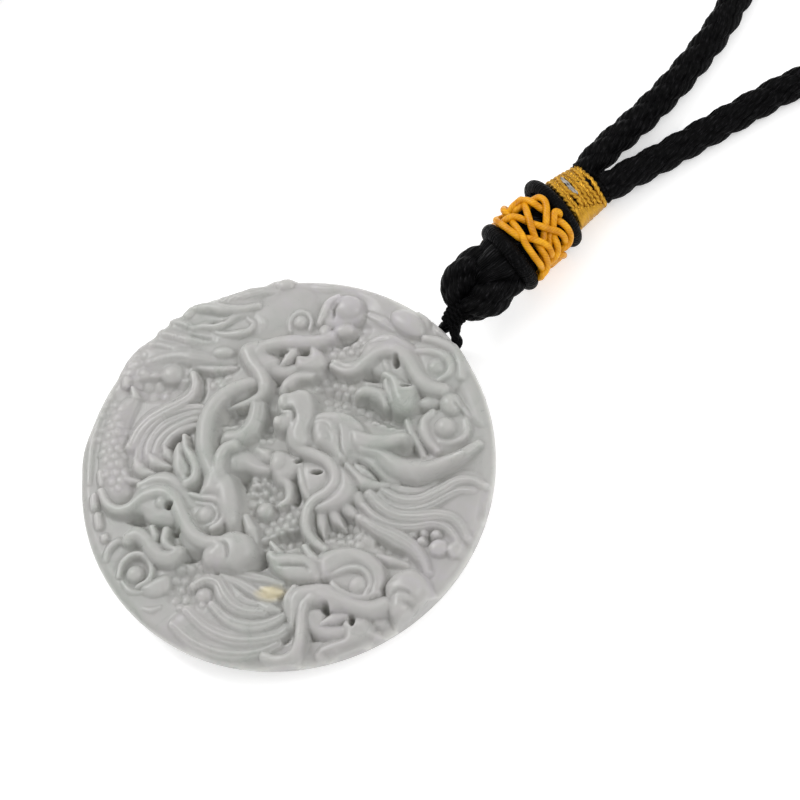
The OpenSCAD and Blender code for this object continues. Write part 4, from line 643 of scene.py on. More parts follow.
def bent(a, b, c, d, count):
    """Places on the smooth line from b towards c, where a comes before them and d after them."""
    t = (np.arange(count) / count)[:, None]
    bend = (2 * a - 5 * b + 4 * c - d) + (3 * b - a - 3 * c + d) * t
    return b + ((c - a) * t + bend * t * t) / 2


def flat_line(points, step=LINE_STEP, closed=False):
    """A smooth line in the plane through the points."""
    p = np.array(points, float)
    if closed:
        p = np.vstack([p, p[:1]])
    ends = (p[-2], p[1]) if closed else (2 * p[0] - p[1], 2 * p[-1] - p[-2])
    q = np.vstack([ends[0], p, ends[1]])
    line = [bent(a, b, c, d, max(2, int(np.hypot(*(c - b)) / step)))
            for a, b, c, d in zip(q[:-3], q[1:-2], q[2:-1], q[3:])]
    return np.vstack(line + [p[-1:]])


def three(values, t):
    """A value between those at the start, the middle and the end."""
    return np.interp(t, (0.0, 0.5, 1.0), values)


def rim_radius(x, y):
    """The disc's radius towards a point, with the carving's bulges on the rim."""
    heading = np.degrees(np.arctan2(y, x))
    radius = np.full(np.shape(heading), DISC_RADIUS)
    for middle, spread, amount in RIM_BULGES:
        off = (heading - middle + 180.0) % 360.0 - 180.0
        radius = radius + amount * np.clip(1.0 - (off / spread) ** 2, 0.0, 1.0) ** 2
    return radius


def plain_face(x, y):
    """Height of the face without its carving."""
    r = np.hypot(x, y) * DISC_RADIUS / rim_radius(x, y)
    over = np.clip((r - DISC_RADIUS + RIM_ROUND) / RIM_ROUND, 0.0, 1.0)
    dip = (FACE_HEIGHT - RIM_HEIGHT) * np.minimum(r / FACE_DIP_RADIUS, 1.0) ** 2
    return FACE_HEIGHT - dip - RIM_ROUND * (1.0 - np.sqrt(1.0 - over ** 2))


def placed(x, y, rise):
    """Where a place read at a slant is, when it stands at its own rise."""
    above = plain_face(x, y) + rise - READ_HEIGHT
    return x + SLANT[0] * above, y + SLANT[1] * above


def placed_line(line, rise):
    """The same for the places of a line."""
    return np.stack(placed(line[:, 0], line[:, 1], rise), -1)


def nearest(x, y, line):
    """Each point's distance to a line, its share of the line's length, and its side."""
    a, ab = line[:-1], np.diff(line, axis=0)
    length = np.hypot(ab[:, 0], ab[:, 1])
    start = np.concatenate([[0.0], np.cumsum(length)])
    px, py = x[:, None] - a[:, 0], y[:, None] - a[:, 1]
    t = np.clip((px * ab[:, 0] + py * ab[:, 1]) / length ** 2, 0.0, 1.0)
    dx, dy = px - t * ab[:, 0], py - t * ab[:, 1]
    away = np.hypot(dx, dy)
    k = away.argmin(1)
    row = np.arange(len(x))
    side = np.sign(ab[k, 0] * dy[row, k] - ab[k, 1] * dx[row, k])
    return away[row, k], (start[k] + t[row, k] * length[k]) / start[-1], side


def turned(x, y, centre, turn):
    """Places measured from a centre, along an axis that is turned, and across it."""
    a = math.radians(turn)
    dx, dy = x - centre[0], y - centre[1]
    return dx * math.cos(a) + dy * math.sin(a), -dx * math.sin(a) + dy * math.cos(a)


def near_line(x, y, line, reach):
    """Numbers of the points in the box that a line's reach fills."""
    low, high = line.min(0) - reach, line.max(0) + reach
    return np.nonzero((x > low[0]) & (x < high[0]) & (y > low[1]) & (y < high[1]))[0]


def inside(x, y, outline):
    """Which points a closed outline goes round."""
    a, b = outline[:-1], outline[1:]
    spans = (a[:, 1] > y[:, None]) != (b[:, 1] > y[:, None])
    rise = np.where(b[:, 1] == a[:, 1], 1.0, b[:, 1] - a[:, 1])
    crossing = a[:, 0] + (y[:, None] - a[:, 1]) * (b[:, 0] - a[:, 0]) / rise
    return (spans & (x[:, None] < crossing)).sum(1) % 2 == 1


def side_drop(u, width):
    """How far the steep side has fallen at u half widths from a form's middle."""
    return np.maximum(u - 1.0, 0.0) * width * STEEP


def fall(u, drop, width):
    """How far a rounded top and its side have fallen at u half widths from the middle."""
    return drop * (1.0 - np.sqrt(np.clip(1.0 - u * u, 0.0, 1.0))) + side_drop(u, width)


def raise_to(z, at, height):
    """The higher of the two surfaces, with a soft seam."""
    near = np.clip(1.0 - np.abs(z[at] - height) / SEAM, 0.0, 1.0)
    z[at] = np.maximum(z[at], height) + SEAM * near ** 2 / 4.0


def mass(x, y, z, row):
    """A raised patch with a rounded edge."""
    rise, edge, points = row[1:]
    outline = placed_line(flat_line(points, OUTLINE_STEP, closed=True), rise - MASS_READ_UNDER)
    reach = edge * (SKIRT - 1.0)
    at = near_line(x, y, outline, reach)
    d = nearest(x[at], y[at], outline)[0]
    d = np.where(inside(x[at], y[at], outline), -d, d)
    keep = d < reach
    at, d = at[keep], d[keep]
    drop = min(rise + MASS_SUNK, MASS_ROUND * edge)
    from_top = np.maximum(1.0 + d / edge, 0.0)
    raise_to(z, at, plain_face(x[at], y[at]) + rise - fall(from_top, drop, edge))


def beads(x, y, z, row):
    """Small round bosses in staggered rows, laid on what is there."""
    rise, size, centre, radii, turn = row
    draw = random.Random(11)
    u, v = turned(x, y, placed(*centre, 0.0), turn)
    field = np.nonzero(np.hypot(u / (radii[0] + size), v / (radii[1] + size)) < 1.0)[0]
    u, v, height = u[field], v[field], np.zeros(len(field))
    rows, columns = int(radii[1] / size / BEAD_ROWS_TRIED), int(radii[0] / size / BEAD_PITCH)
    for j in range(-rows, rows + 1):
        for i in range(-columns - 1, columns + 1):
            aside, ahead = (draw.uniform(-most, most) for most in BEAD_WANDER)
            a = (BEAD_PITCH * i + BEAD_PITCH / 2 * (j % 2) + aside) * size
            b = (BEAD_ROWS * j + ahead) * size
            if np.hypot(a / radii[0], b / radii[1]) < 1.0:
                r = np.hypot(u - a, v - b) / (size * draw.uniform(*BEAD_SIZES))
                height = np.maximum(height, rise * np.clip(1.0 - r * r, 0.0, 1.0) ** 0.75)
    z[field] += height


def hair_lines(u, ridges):
    """Fine lines along a lock, from 0 to 1, at u half widths to either side of its middle."""
    phase = (ridges + 1) * (u + 1.0) / 2.0
    return (1.0 - np.abs(np.sin(math.pi * phase))) ** 1.5


def strand(x, y, z, row):
    """A raised line that is round, or flatter with hair lines where it has ridges."""
    rise, width, ridges, points = row[1:]
    line = flat_line(points)
    line = placed_line(line, three(rise, np.linspace(0, 1, len(line))))
    at = near_line(x, y, line, max(width) * SKIRT)
    d, t, side = nearest(x[at], y[at], line)
    w = three(width, t)
    keep = d < w * SKIRT
    at, t, side, w, u = at[keep], t[keep], side[keep], w[keep], (d / w)[keep]
    middle = line[np.clip((t * (len(line) - 1)).astype(int), 0, len(line) - 1)]
    height = plain_face(middle[:, 0], middle[:, 1]) + three(rise, t)
    if ridges:
        lines = hair_lines(side * u, ridges) * (u < 1.0) * np.minimum(w / HAIR_FINE, 1.0)
        height -= LOCK_DROP * u * u + side_drop(u, w) + HAIR_DEPTH * lines
    else:
        height -= fall(u, STRAND_ROUND[0] + STRAND_ROUND[1] * w, w)
    raise_to(z, at, height)


def dome(x, y, z, row):
    """A round or oval boss."""
    rise, centre, radii, turn, drop = row[1:]
    middle = placed(*centre, rise - DOME_READ_UNDER * drop)
    u, v = turned(x, y, middle, turn)
    r = np.hypot(u / radii[0], v / radii[1])
    at = np.nonzero(r < SKIRT)[0]
    raise_to(z, at, plain_face(*middle) + rise - fall(r[at], drop, min(radii)))


def hollow(x, y, z, row):
    """A soft-edged hollow, a little wider than its radii."""
    depth, centre, radii, turn = row
    u, v = turned(x, y, placed(*centre, -depth), turn)
    r = np.clip(np.hypot(u / radii[0], v / radii[1]) / HOLLOW_SPREAD, 0.0, 1.0)
    z -= depth * (1.0 - r ** 3) ** 1.5


def hole(x, y, z, row):
    """A drilled hole with a soft wall."""
    bottom, centre, radii, turn = row
    u, v = turned(x, y, placed(*centre, HOLE_READ_AT), turn)
    r = np.hypot(u / radii[0], v / radii[1])
    starts, width = HOLE_WALL
    at = r < starts + width
    s = np.clip((r[at] - starts) / width, 0.0, 1.0)
    s = s * s * (3 - 2 * s)
    z[at] = z[at] * s + np.minimum(bottom, z[at]) * (1 - s)


def groove(x, y, z, row):
    """An engraved line that gets shallow towards each end."""
    depth, width, points = row
    line = placed_line(flat_line(points), GROOVE_READ_AT)
    at = near_line(x, y, line, width)
    d, t = nearest(x[at], y[at], line)[:2]
    profile = np.clip(1.0 - (d / width) ** 2, 0.0, 1.0)
    first, last = (np.clip(GROOVE_ENDS * share, GROOVE_LEAST, 1) for share in (t, 1 - t))
    z[at] -= depth * profile * first * last


def carved_height(x, y):
    """Heights of the carved face over the back."""
    z = plain_face(x, y)
    steps = ((hollow, HOLLOWS), (beads, BEADS), (mass, MASSES), (strand, STRANDS), (beads, SCALES),
             (dome, DOMES), (groove, GROOVES), (hole, HOLES))
    for make, rows in steps:
        for row in rows:
            make(x, y, z, row)
    return z


def on_disc(u, v):
    """A square's points moved onto a disc, so that the squares keep an even size."""
    wide = np.abs(u) > np.abs(v)
    share = np.where(wide, v / np.where(u == 0, 1, u), u / np.where(v == 0, 1, v)) * math.pi / 4
    r = np.where(wide, u, v)
    return (np.where(wide, r * np.cos(share), r * np.sin(share)),
            np.where(wide, r * np.sin(share), r * np.cos(share)))


# Shared shapes

UPWARDS = (0.0, 0.0, 1.0)


def spline(points, step):
    """A smooth line through the points, with places about step apart."""
    p = np.array(points, float)
    q = np.vstack([2 * p[0] - p[1], p, 2 * p[-1] - p[-2]])
    line = [bent(a, b, c, d, max(2, math.ceil(np.linalg.norm(c - b) / step)))
            for a, b, c, d in zip(q[:-3], q[1:-2], q[2:-1], q[3:])]
    return np.vstack(line + [p[-1:]])


def run_of(line):
    """How far along a line each of its places is."""
    return np.concatenate([[0.0], np.cumsum(np.linalg.norm(np.diff(line, axis=0), axis=1))])


def evenly(line, step):
    """The same line with evenly spaced places."""
    run = run_of(line)
    at = np.linspace(0.0, run[-1], max(2, round(run[-1] / step) + 1))
    return np.stack([np.interp(at, run, line[:, k]) for k in range(3)], axis=1)


def route(points, steps):
    """A smooth line through the points with evenly spaced places; steps are those before and after."""
    return evenly(spline(points, steps[0]), steps[1])


def unit(v):
    return v / np.maximum(np.linalg.norm(v, axis=-1, keepdims=True), 1e-12)


def frames(line, above=UPWARDS):
    """The directions ahead, to the side and above at each place of a line."""
    ahead = unit(np.gradient(line, axis=0))
    side = unit(np.cross(above, ahead))
    return ahead, side, np.cross(ahead, side)


def grid_faces(rows, columns, closed):
    """The four-sided faces between rings of points; closed joins the last ring to the first."""
    i = np.arange(rows if closed else rows - 1)[:, None]
    k = np.arange(columns)[None, :]
    a, b = i * columns + k, i * columns + (k + 1) % columns
    c, d = ((i + 1) % rows) * columns + (k + 1) % columns, ((i + 1) % rows) * columns + k
    return np.stack([a, b, c, d], axis=-1).reshape(-1, 4)


def unwrapped(marks, faces, corners):
    """Each corner's mark, with the faces that close a ring carried on past one turn."""
    at = np.asarray(marks, float)[corners]
    ring = at[:faces.size].reshape(len(faces), -1, 2)
    past = (np.ptp(ring[:, :, 0], axis=1) > 0.5)[:, None] & (ring[:, :, 0] < 0.5)
    ring[:, :, 0] += past
    at[:faces.size] = ring.reshape(-1, 2)
    return at


def make_piece(name, points, faces, caps, marks, material, node, slot):
    """A mesh object in place of a CAD node, or on its own where node is None."""
    mesh = bpy.data.meshes.new(name)
    points = np.asarray(points, float) * MM
    faces = np.asarray(faces, int)
    sizes = [faces.shape[1]] * len(faces) + [len(c) for c in caps]
    corners = np.concatenate([faces.ravel()] + [np.array(c, int) for c in caps])
    mesh.vertices.add(len(points))
    mesh.vertices.foreach_set("co", points.ravel())
    mesh.loops.add(len(corners))
    mesh.loops.foreach_set("vertex_index", corners)
    mesh.polygons.add(len(sizes))
    mesh.polygons.foreach_set("loop_start", np.concatenate([[0], np.cumsum(sizes)[:-1]]))
    mesh.polygons.foreach_set("use_smooth", [True] * len(sizes))
    mesh.uv_layers.new(name="run").data.foreach_set("uv", unwrapped(marks, faces, corners).ravel())
    mesh.update(calc_edges=True)
    mesh.validate()
    mesh.materials.append(material)
    piece = bpy.data.objects.new(name, mesh)
    bpy.context.scene.collection.objects.link(piece)
    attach(piece, "root")
    if node:
        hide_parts(node)
    return piece


# Round cords without plies; their lay only turns the rings of points

PLAIN = dict(plies=1, ply_share=1.0)
STRAIGHT = dict(PLAIN, lay=1000.0)
YARN_SLANT = 1.3       # 1 where the yarns run straight along the cord


def rope(line, radius, sides, above, plies=3, lay=11.4, ply_share=0.5, yarns=0, yarn_depth=0.0, flat=1.0):
    """Points round a line whose outline has the lobes of twisted plies, and each point's turn and run.

    radius is a number or one for each place; lay is the run in which a ply goes round once; ply_share is
    how round the lobes are; the yarns run across the plies; flat is the outline's size along `above`
    over its size across it."""
    run = run_of(line)
    side, up = frames(line, above)[1:]
    radius = np.broadcast_to(np.asarray(radius, float), run.shape)[:, None]
    yarn = np.linspace(0.0, 1.0, sides, endpoint=False)[None, :]
    turns = run[:, None] / lay
    place = yarn - (YARN_SLANT * turns if yarns else 0.0)
    lobe = ((place * plies) % 1.0 - 0.5) * 2 * math.pi / plies
    out = 1.0 - ply_share
    shape = out * np.cos(lobe) + np.sqrt(np.maximum(ply_share ** 2 - (out * np.sin(lobe)) ** 2, 0.004))
    size = radius * shape
    if yarns:
        size = size + yarn_depth * (np.abs(np.sin(math.pi * yarns * yarn)) ** 0.7 - 0.6)
    twist = 2 * math.pi * (place + turns)
    points = (line[:, None, :] + (size * np.cos(twist))[..., None] * side[:, None, :]
              + flat * (size * np.sin(twist))[..., None] * up[:, None, :])
    marks = np.stack([np.broadcast_to(v, size.shape) for v in (yarn, run[:, None])], axis=-1)
    return points.reshape(-1, 3), marks.reshape(-1, 2)


def tube(line, radius, sides, above=UPWARDS, closed=False, **twist):
    """A cord round a line: its points, faces, end caps and marks."""
    points, marks = rope(line, radius, sides, above, **twist)
    ends = [] if closed else [list(range(sides))[::-1], list(range(len(points) - sides, len(points)))]
    return points, grid_faces(len(line), sides, closed), ends, marks


def joined(parts):
    """Several sets of points, faces, caps and marks as one."""
    points, faces, caps, marks, first = [], [], [], [], 0
    for p, f, c, m in parts:
        points.append(p)
        faces.append(np.asarray(f) + first)
        caps += [[k + first for k in ring] for ring in c]
        marks.append(m)
        first += len(p)
    return np.vstack(points), np.vstack(faces), caps, np.vstack(marks)


# Materials: stops of their colour ramps, as place and colour

# the black's last, brightest stop is a painted glint
BLACK_AND_PAINTED_GLINT_TONES = ((0.42, (0.0003, 0.0003, 0.0004)), (0.58, (0.0016, 0.0015, 0.0018)),
               (0.72, (0.024, 0.023, 0.025)))
YELLOW_TONES = ((0.25, (0.46, 0.165, 0.001)), (0.6, (0.76, 0.365, 0.006)))
GOLD_TONES = ((0.2, (0.26, 0.118, 0.003)), (0.55, (0.66, 0.36, 0.036)))
GREY_TONES = ((0.3, (0.10, 0.095, 0.09)), (0.7, (0.48, 0.46, 0.43)))
JADE_TONES = ((0.34, (0.305, 0.322, 0.298)), (0.45, (0.348, 0.350, 0.336)),
              (0.56, (0.369, 0.360, 0.353)), (0.68, (0.384, 0.366, 0.386)))
JADE_STAIN = (0.54, 0.47, 0.29)
JADE_STAIN_AT = (-0.0021, -0.0176, 0.0076)
JADE_STAIN_SIZE = (0.0022, 0.0012, 0.0030)
# painted light: the paler colour that the jade's hollows are given, standing in for light shining through
# the stone
JADE_PAINTED_LIGHT_IN_HOLLOWS = (0.55, 0.55, 0.52)
FLOOR_TONES = ((0.3, (0.90, 0.90, 0.90)), (0.7, (0.92, 0.92, 0.92)))
WHITE = (1.0, 1.0, 1.0, 1.0)


class Surface:
    """A material with one shader, and short ways of adding nodes to it."""

    def __init__(self, name, roughness, **settings):
        self.material = bpy.data.materials.new(name)
        self.material.use_nodes = True
        self.tree = self.material.node_tree
        self.shader = self.tree.nodes["Principled BSDF"]
        self.shader.inputs["Roughness"].default_value = roughness
        for socket, value in settings.items():
            self.shader.inputs[socket.replace("_", " ")].default_value = value

    def add(self, kind, inputs=(), **settings):
        """A node; each of its inputs is a value or another node's output."""
        node = self.tree.nodes.new(kind)
        for name, value in settings.items():
            setattr(node, name, value)
        for name, value in dict(inputs).items():
            if isinstance(value, bpy.types.NodeSocket):
                self.tree.links.new(value, node.inputs[name])
            else:
                node.inputs[name].default_value = value
        return node

    def sum(self, operation, *values):
        return self.add("ShaderNodeMath", dict(enumerate(values)), operation=operation).outputs[0]

    def blend(self, *weighted):
        """Two values, each times its weight, added up."""
        return self.sum("ADD", *[self.sum("MULTIPLY", value, weight) for value, weight in weighted])

    def place(self):
        return self.add("ShaderNodeTexCoord").outputs["Object"]

    def run(self):
        """The turn round a cord and the run along it, in millimetres."""
        marks = self.add("ShaderNodeUVMap", uv_map="run").outputs["UV"]
        parts = self.add("ShaderNodeSeparateXYZ", {"Vector": marks})
        return parts.outputs["X"], parts.outputs["Y"]

    def noise(self, scale, detail=3.0, rough=0.55, distortion=0.0):
        """Noise by place; scale is in waves to the metre."""
        inputs = {"Vector": self.place(), "Scale": scale, "Detail": detail, "Roughness": rough,
                  "Distortion": distortion}
        return self.add("ShaderNodeTexNoise", inputs).outputs["Fac"]

    def streaks(self, around, along):
        """Short strokes that follow the yarns: so many round the cord, and in a millimetre of its run."""
        yarn, run = self.run()
        parts = {"X": self.sum("MULTIPLY", yarn, around), "Y": self.sum("MULTIPLY", run, along)}
        place = self.add("ShaderNodeCombineXYZ", parts).outputs[0]
        inputs = {"Vector": place, "Scale": 1.0, "Detail": 2.0, "Roughness": 0.6}
        return self.add("ShaderNodeTexNoise", inputs).outputs["Fac"]

    def fibres(self, per_mm, slant, wander):
        """Fibres side by side along a cord, from 0 to 1; slant is how many they shift in one turn."""
        turn, run = self.run()
        phase = self.blend((run, per_mm), (turn, slant))
        phase = self.sum("ADD", phase, self.sum("MULTIPLY", self.noise(900.0), wander))
        return self.level(self.sum("SINE", self.sum("MULTIPLY", phase, 2 * math.pi)), -1.0, 1.0)

    def ramp(self, value, stops):
        """A colour for each value, between the stops' colours."""
        node = self.add("ShaderNodeValToRGB", {"Fac": value})
        points = node.color_ramp.elements
        while len(points) < len(stops):
            points.new(0.5)
        for point, (at, colour) in zip(points, stops):
            point.position = at
            point.color = (*colour, 1.0)
        return node.outputs["Color"]

    def level(self, value, low, high, lowest=0.0, highest=1.0):
        """A value from low to high, moved to the range from lowest to highest."""
        inputs = {"Value": value, "From Min": low, "From Max": high, "To Min": lowest, "To Max": highest}
        return self.add("ShaderNodeMapRange", inputs).outputs["Result"]

    def tinted(self, colour, tint, share):
        """A colour with a share of a tint; 0, 6 and 7 are the node's inputs for the share and colours."""
        inputs = {0: share, 6: colour, 7: (*tint, 1.0)}
        return self.add("ShaderNodeMix", inputs, data_type="RGBA").outputs[2]

    def bump(self, height, strength, distance):
        """Small relief, on top of any that is there."""
        inputs = {"Height": height, "Strength": strength, "Distance": distance}
        last = self.shader.inputs["Normal"]
        if last.is_linked:
            inputs["Normal"] = last.links[0].from_socket
        self.set("Normal", self.add("ShaderNodeBump", inputs).outputs["Normal"])

    def set(self, socket, value):
        self.tree.links.new(value, self.shader.inputs[socket])


def black_thread(name, per_mm, slant):
    """Fine black silk-like thread: dark, softly lustrous, with fibres and short painted glints along its
    yarns.
    """
    surface = Surface(name, 0.4, Specular_IOR_Level=0.048)
    fibres = surface.fibres(per_mm, slant, 1.2)
    strokes = surface.streaks(90.0, 0.9)
    # painted highlight: the strokes lighten the colour to short glints, brightest where their bump stands
    # highest
    surface.set("Base Color", surface.ramp(strokes, BLACK_AND_PAINTED_GLINT_TONES))
    surface.set("Roughness", surface.level(strokes, 0.35, 0.65, 0.5, 0.3))
    surface.bump(fibres, 0.7, 0.00010)
    surface.bump(strokes, 0.7, 0.00016)
    return surface.material


def yellow_thread():
    """Bright yellow nylon cord with a fine twist; painted shade makes it deeper orange between its turns.
    """
    surface = Surface("yellow_cord", 0.36, Specular_IOR_Level=0.24)
    twist = surface.fibres(2.6, 5.0, 0.3)
    cloud = surface.noise(700.0)
    # the twist's share of the colour is painted shade and highlight: darker orange where the twist's bump
    # lies low, lighter where it stands high
    surface.set("Base Color", surface.ramp(surface.blend((twist, 0.12), (cloud, 0.7)), YELLOW_TONES))
    surface.set("Roughness", surface.level(cloud, 0.3, 0.7, 0.3, 0.42))
    surface.bump(twist, 0.16, 0.00008)
    surface.bump(surface.noise(6500.0, 2.0), 0.3, 0.00005)
    return surface.material


def gold_thread():
    """Metallic-looking gold thread: lustrous ochre with darker shadows between the stitches."""
    surface = Surface("gold_thread", 0.36, Specular_IOR_Level=0.3, Metallic=0.75)
    fibres = surface.fibres(5.0, 9.0, 0.8)
    cloud = surface.noise(600.0)
    # the fibres' share of the colour is painted shade and highlight: darker where their bump lies low,
    # lighter where it stands high
    surface.set("Base Color", surface.ramp(surface.blend((fibres, 0.3), (cloud, 0.5)), GOLD_TONES))
    surface.set("Roughness", surface.level(fibres, 0.0, 1.0, 0.42, 0.3))
    surface.bump(fibres, 0.4, 0.00006)
    return surface.material


def grey_thread():
    """Frayed, dusty grey thread ends."""
    surface = Surface("grey_thread", 0.6, Specular_IOR_Level=0.4, Metallic=0.2)
    cloud = surface.noise(2500.0)
    surface.set("Base Color", surface.ramp(cloud, GREY_TONES))
    surface.bump(cloud, 0.4, 0.00008)
    return surface.material


def stain(surface):
    """How much of the cream stain there is at a place: an oval with an uneven, soft edge."""
    oval = {"Vector": surface.place(), "Location": JADE_STAIN_AT, "Scale": JADE_STAIN_SIZE}
    spot = surface.add("ShaderNodeMapping", oval, vector_type="TEXTURE").outputs["Vector"]
    away = surface.add("ShaderNodeVectorMath", {0: spot}, operation="LENGTH").outputs["Value"]
    edge = surface.sum("ADD", away, surface.sum("MULTIPLY", surface.noise(700.0), 0.4))
    return surface.level(edge, 0.8, 1.4, 0.65, 0.0)


def jade():
    """Pale jadeite: cloudy grey with hints of green and lavender, milky inside, with painted light that
    makes its hollows paler.
    """
    surface = Surface("jade", 0.3, Subsurface_Weight=0.8, Subsurface_Scale=0.003, Specular_IOR_Level=0.27,
                      Coat_Weight=0.05, Coat_Roughness=0.15, IOR=1.5)
    surface.shader.inputs["Subsurface Radius"].default_value = (1.0, 1.0, 0.95)
    cloud = surface.noise(42.0, 3.0, 0.55, 0.5)
    veins = surface.noise(260.0, 5.0, 0.65, 1.2)
    colour = surface.ramp(surface.blend((cloud, 0.62), (veins, 0.38)), JADE_TONES)
    colour = surface.tinted(colour, JADE_STAIN, stain(surface))
    # painted light: the deeper a place lies in a hollow, the more of the paler colour it gets
    depth = surface.level(surface.run()[1], 0.05, 1.7, 0.0, 0.8)
    surface.set("Base Color", surface.tinted(colour, JADE_PAINTED_LIGHT_IN_HOLLOWS, depth))
    surface.set("Roughness", surface.level(veins, 0.3, 0.7, 0.24, 0.4))
    surface.bump(surface.noise(2600.0, 3.0), 0.12, 0.00008)
    return surface.material


def plain_floor():
    """A pale table with a little light of its own, so that shadows stay faint."""
    surface = Surface("floor", 0.85, Specular_IOR_Level=0.1, Emission_Strength=0.3)
    surface.shader.inputs["Emission Color"].default_value = WHITE
    surface.set("Base Color", surface.ramp(surface.noise(3.0), FLOOR_TONES))
    return surface.material


# Jade disc

JADE_SQUARES = 280     # along each side of the grid that is the carved face
RECESS_REACH = 8       # squares over which a place is compared with the forms around it


def recess(height):
    """How far each place of a square grid lies below the forms around it."""
    around = height
    for axis in (0, 1):
        shifts = range(-RECESS_REACH, RECESS_REACH + 1)
        around = sum(np.roll(around, shift, axis=axis) for shift in shifts) / len(shifts)
    return np.clip(around - height, 0.0, None)


def tunnel_cutters():
    """Two straight drills that meet inside the disc, with their mouths side by side in the rim."""
    heading = math.radians(TUNNEL_HEADING)
    inner = DISC_RADIUS - TUNNEL_DEPTH
    bottom = np.array([inner * math.cos(heading), inner * math.sin(heading), TUNNEL_HEIGHTS[0]])
    cutters = []
    for side in (-1, 1):
        turn = heading + side * TUNNEL_SPREAD / DISC_RADIUS / 2
        mouth = np.array([DISC_RADIUS * math.cos(turn), DISC_RADIUS * math.sin(turn), TUNNEL_HEIGHTS[1]])
        ahead = unit(mouth - bottom)
        line = np.array([bottom - DRILL_PAST[0] * ahead, bottom + (TUNNEL_DEPTH + DRILL_PAST[1]) * ahead])
        points, faces, ends = tube(line, TUNNEL_DIAMETER / 2, DRILL_SIDES, **PLAIN)[:3]
        mesh = bpy.data.meshes.new("drill")
        mesh.from_pydata((points * MM).tolist(), [], faces.tolist() + ends)
        cutters.append(bpy.data.objects.new("drill", mesh))
    return cutters


def drill(piece, cutters):
    """Cuts the drills' shapes out of a piece and removes the drills."""
    for cutter in cutters:
        bpy.context.scene.collection.objects.link(cutter)
        cut = piece.modifiers.new("tunnel", "BOOLEAN")
        cut.operation, cut.object, cut.solver = "DIFFERENCE", cutter, "EXACT"
    whole = piece.evaluated_get(bpy.context.evaluated_depsgraph_get())
    mesh = bpy.data.meshes.new_from_object(whole)
    piece.modifiers.clear()
    piece.data = mesh
    for cutter in cutters:
        bpy.data.objects.remove(cutter)


def rim_of(n):
    """Numbers of the outer points of a grid of n by n squares, once round."""
    i = np.arange(n)
    return np.concatenate([i * (n + 1), n * (n + 1) + i, (n - i) * (n + 1) + n, n - i])


def rings_below(rim_points, radius):
    """Rings of points down the side wall, where the rim's bulges fade out, and on the flat back."""
    swell = (radius - DISC_RADIUS)[:, None]
    ring = rim_points / radius[:, None]
    rings = [(height, ring * (wide + swell * height / WALL[0][0])) for height, wide in WALL]
    rings += [(0.0, ring * wide) for wide in BACK_RINGS]
    return [np.column_stack([places, np.full(len(places), height)]) for height, places in rings]


def make_jade(material):
    """The disc: a grid of squares as its carved face, rings down its side and back, and the tunnel."""
    n = JADE_SQUARES
    u, v = np.meshgrid(np.linspace(-1, 1, n + 1), np.linspace(-1, 1, n + 1), indexing="ij")
    x, y = on_disc(u.ravel(), v.ravel())
    radius = rim_radius(x, y)
    x, y = x * radius, y * radius
    top = np.stack([x, y, carved_height(x, y)], axis=1)
    rim = rim_of(n)
    rings = rings_below(top[rim, :2], radius[rim])
    points = np.vstack([top] + rings)
    corner = (np.arange(n)[:, None] * (n + 1) + np.arange(n)[None, :]).ravel()
    faces = [np.stack([corner, corner + n + 1, corner + n + 2, corner + 1], axis=1)]
    numbers = [rim] + [len(top) + k * len(rim) + np.arange(len(rim)) for k in range(len(rings))]
    for upper, lower in zip(numbers[:-1], numbers[1:]):
        faces.append(np.stack([upper, lower, np.roll(lower, -1), np.roll(upper, -1)], axis=1))
    # the second mark is how deep a place lies, where a cord's is its run
    marks = np.zeros((len(points), 2))
    marks[:len(top), 1] = recess(top[:, 2].reshape(n + 1, n + 1)).ravel()
    piece = make_piece("jade", points, np.vstack(faces), [numbers[-1][::-1]], marks, material,
                       "jade_disc", "jade")
    drill(piece, tunnel_cutters())


# The knot's axis and the places shared with the CAD's solids

LOWER_COLLAR_AT = np.array([30.1, 25.3, 7.6])
UPPER_COLLAR_AT = np.array([36.5, 32.8, 5.3])
KNOT_LINE = unit(UPPER_COLLAR_AT - LOWER_COLLAR_AT)
KNOT_SIDE = unit(np.cross(UPWARDS, KNOT_LINE))
KNOT_ABOVE = np.cross(KNOT_LINE, KNOT_SIDE)

CORE_LINE = (
    (27.2, 22.3, 6.9), (29.2, 24.2, 7.6), (30.1, 25.3, 7.6), (32.3, 27.9, 6.8), (34.5, 30.5, 6.0),
    (36.5, 32.8, 5.3), (37.4, 33.6, 5.05), (38.3, 34.4, 4.8), (40.0, 35.8, 4.4), (41.9, 37.2, 4.0),
)
CORE_HALF_WIDTHS = (1.6, 3.3, 4.15, 4.35, 4.3, 4.2, 4.05, 3.3, 3.1, 2.8)
LEFT_LOBE = (
    (29.9, 26.4, 7.5), (28.2, 26.2, 7.6), (26.2, 25.5, 7.7), (24.5, 23.8, 7.5), (23.8, 22.0, 7.0),
    (23.9, 20.6, 6.4),
)
LEFT_LOBE_SIZES = (2.0, 2.3, 2.5, 2.6, 2.3, 1.5)
RIGHT_LOBE = (
    (32.3, 24.2, 7.5), (31.0, 23.0, 7.6), (29.7, 21.8, 7.6), (28.3, 20.8, 7.3), (26.5, 20.3, 6.8),
    (24.6, 20.2, 6.3),
)
RIGHT_LOBE_SIZES = (2.0, 2.3, 2.4, 2.5, 2.2, 1.6)
GOLD_LINE = ((38.0, 34.1, 4.9), (40.0, 35.8, 4.4), (42.0, 37.3, 4.0))
GOLD_HALF_WIDTHS = (4.1, 3.9, 3.6)
GOLD_HALF_HEIGHTS = (3.7, 3.3, 2.9)
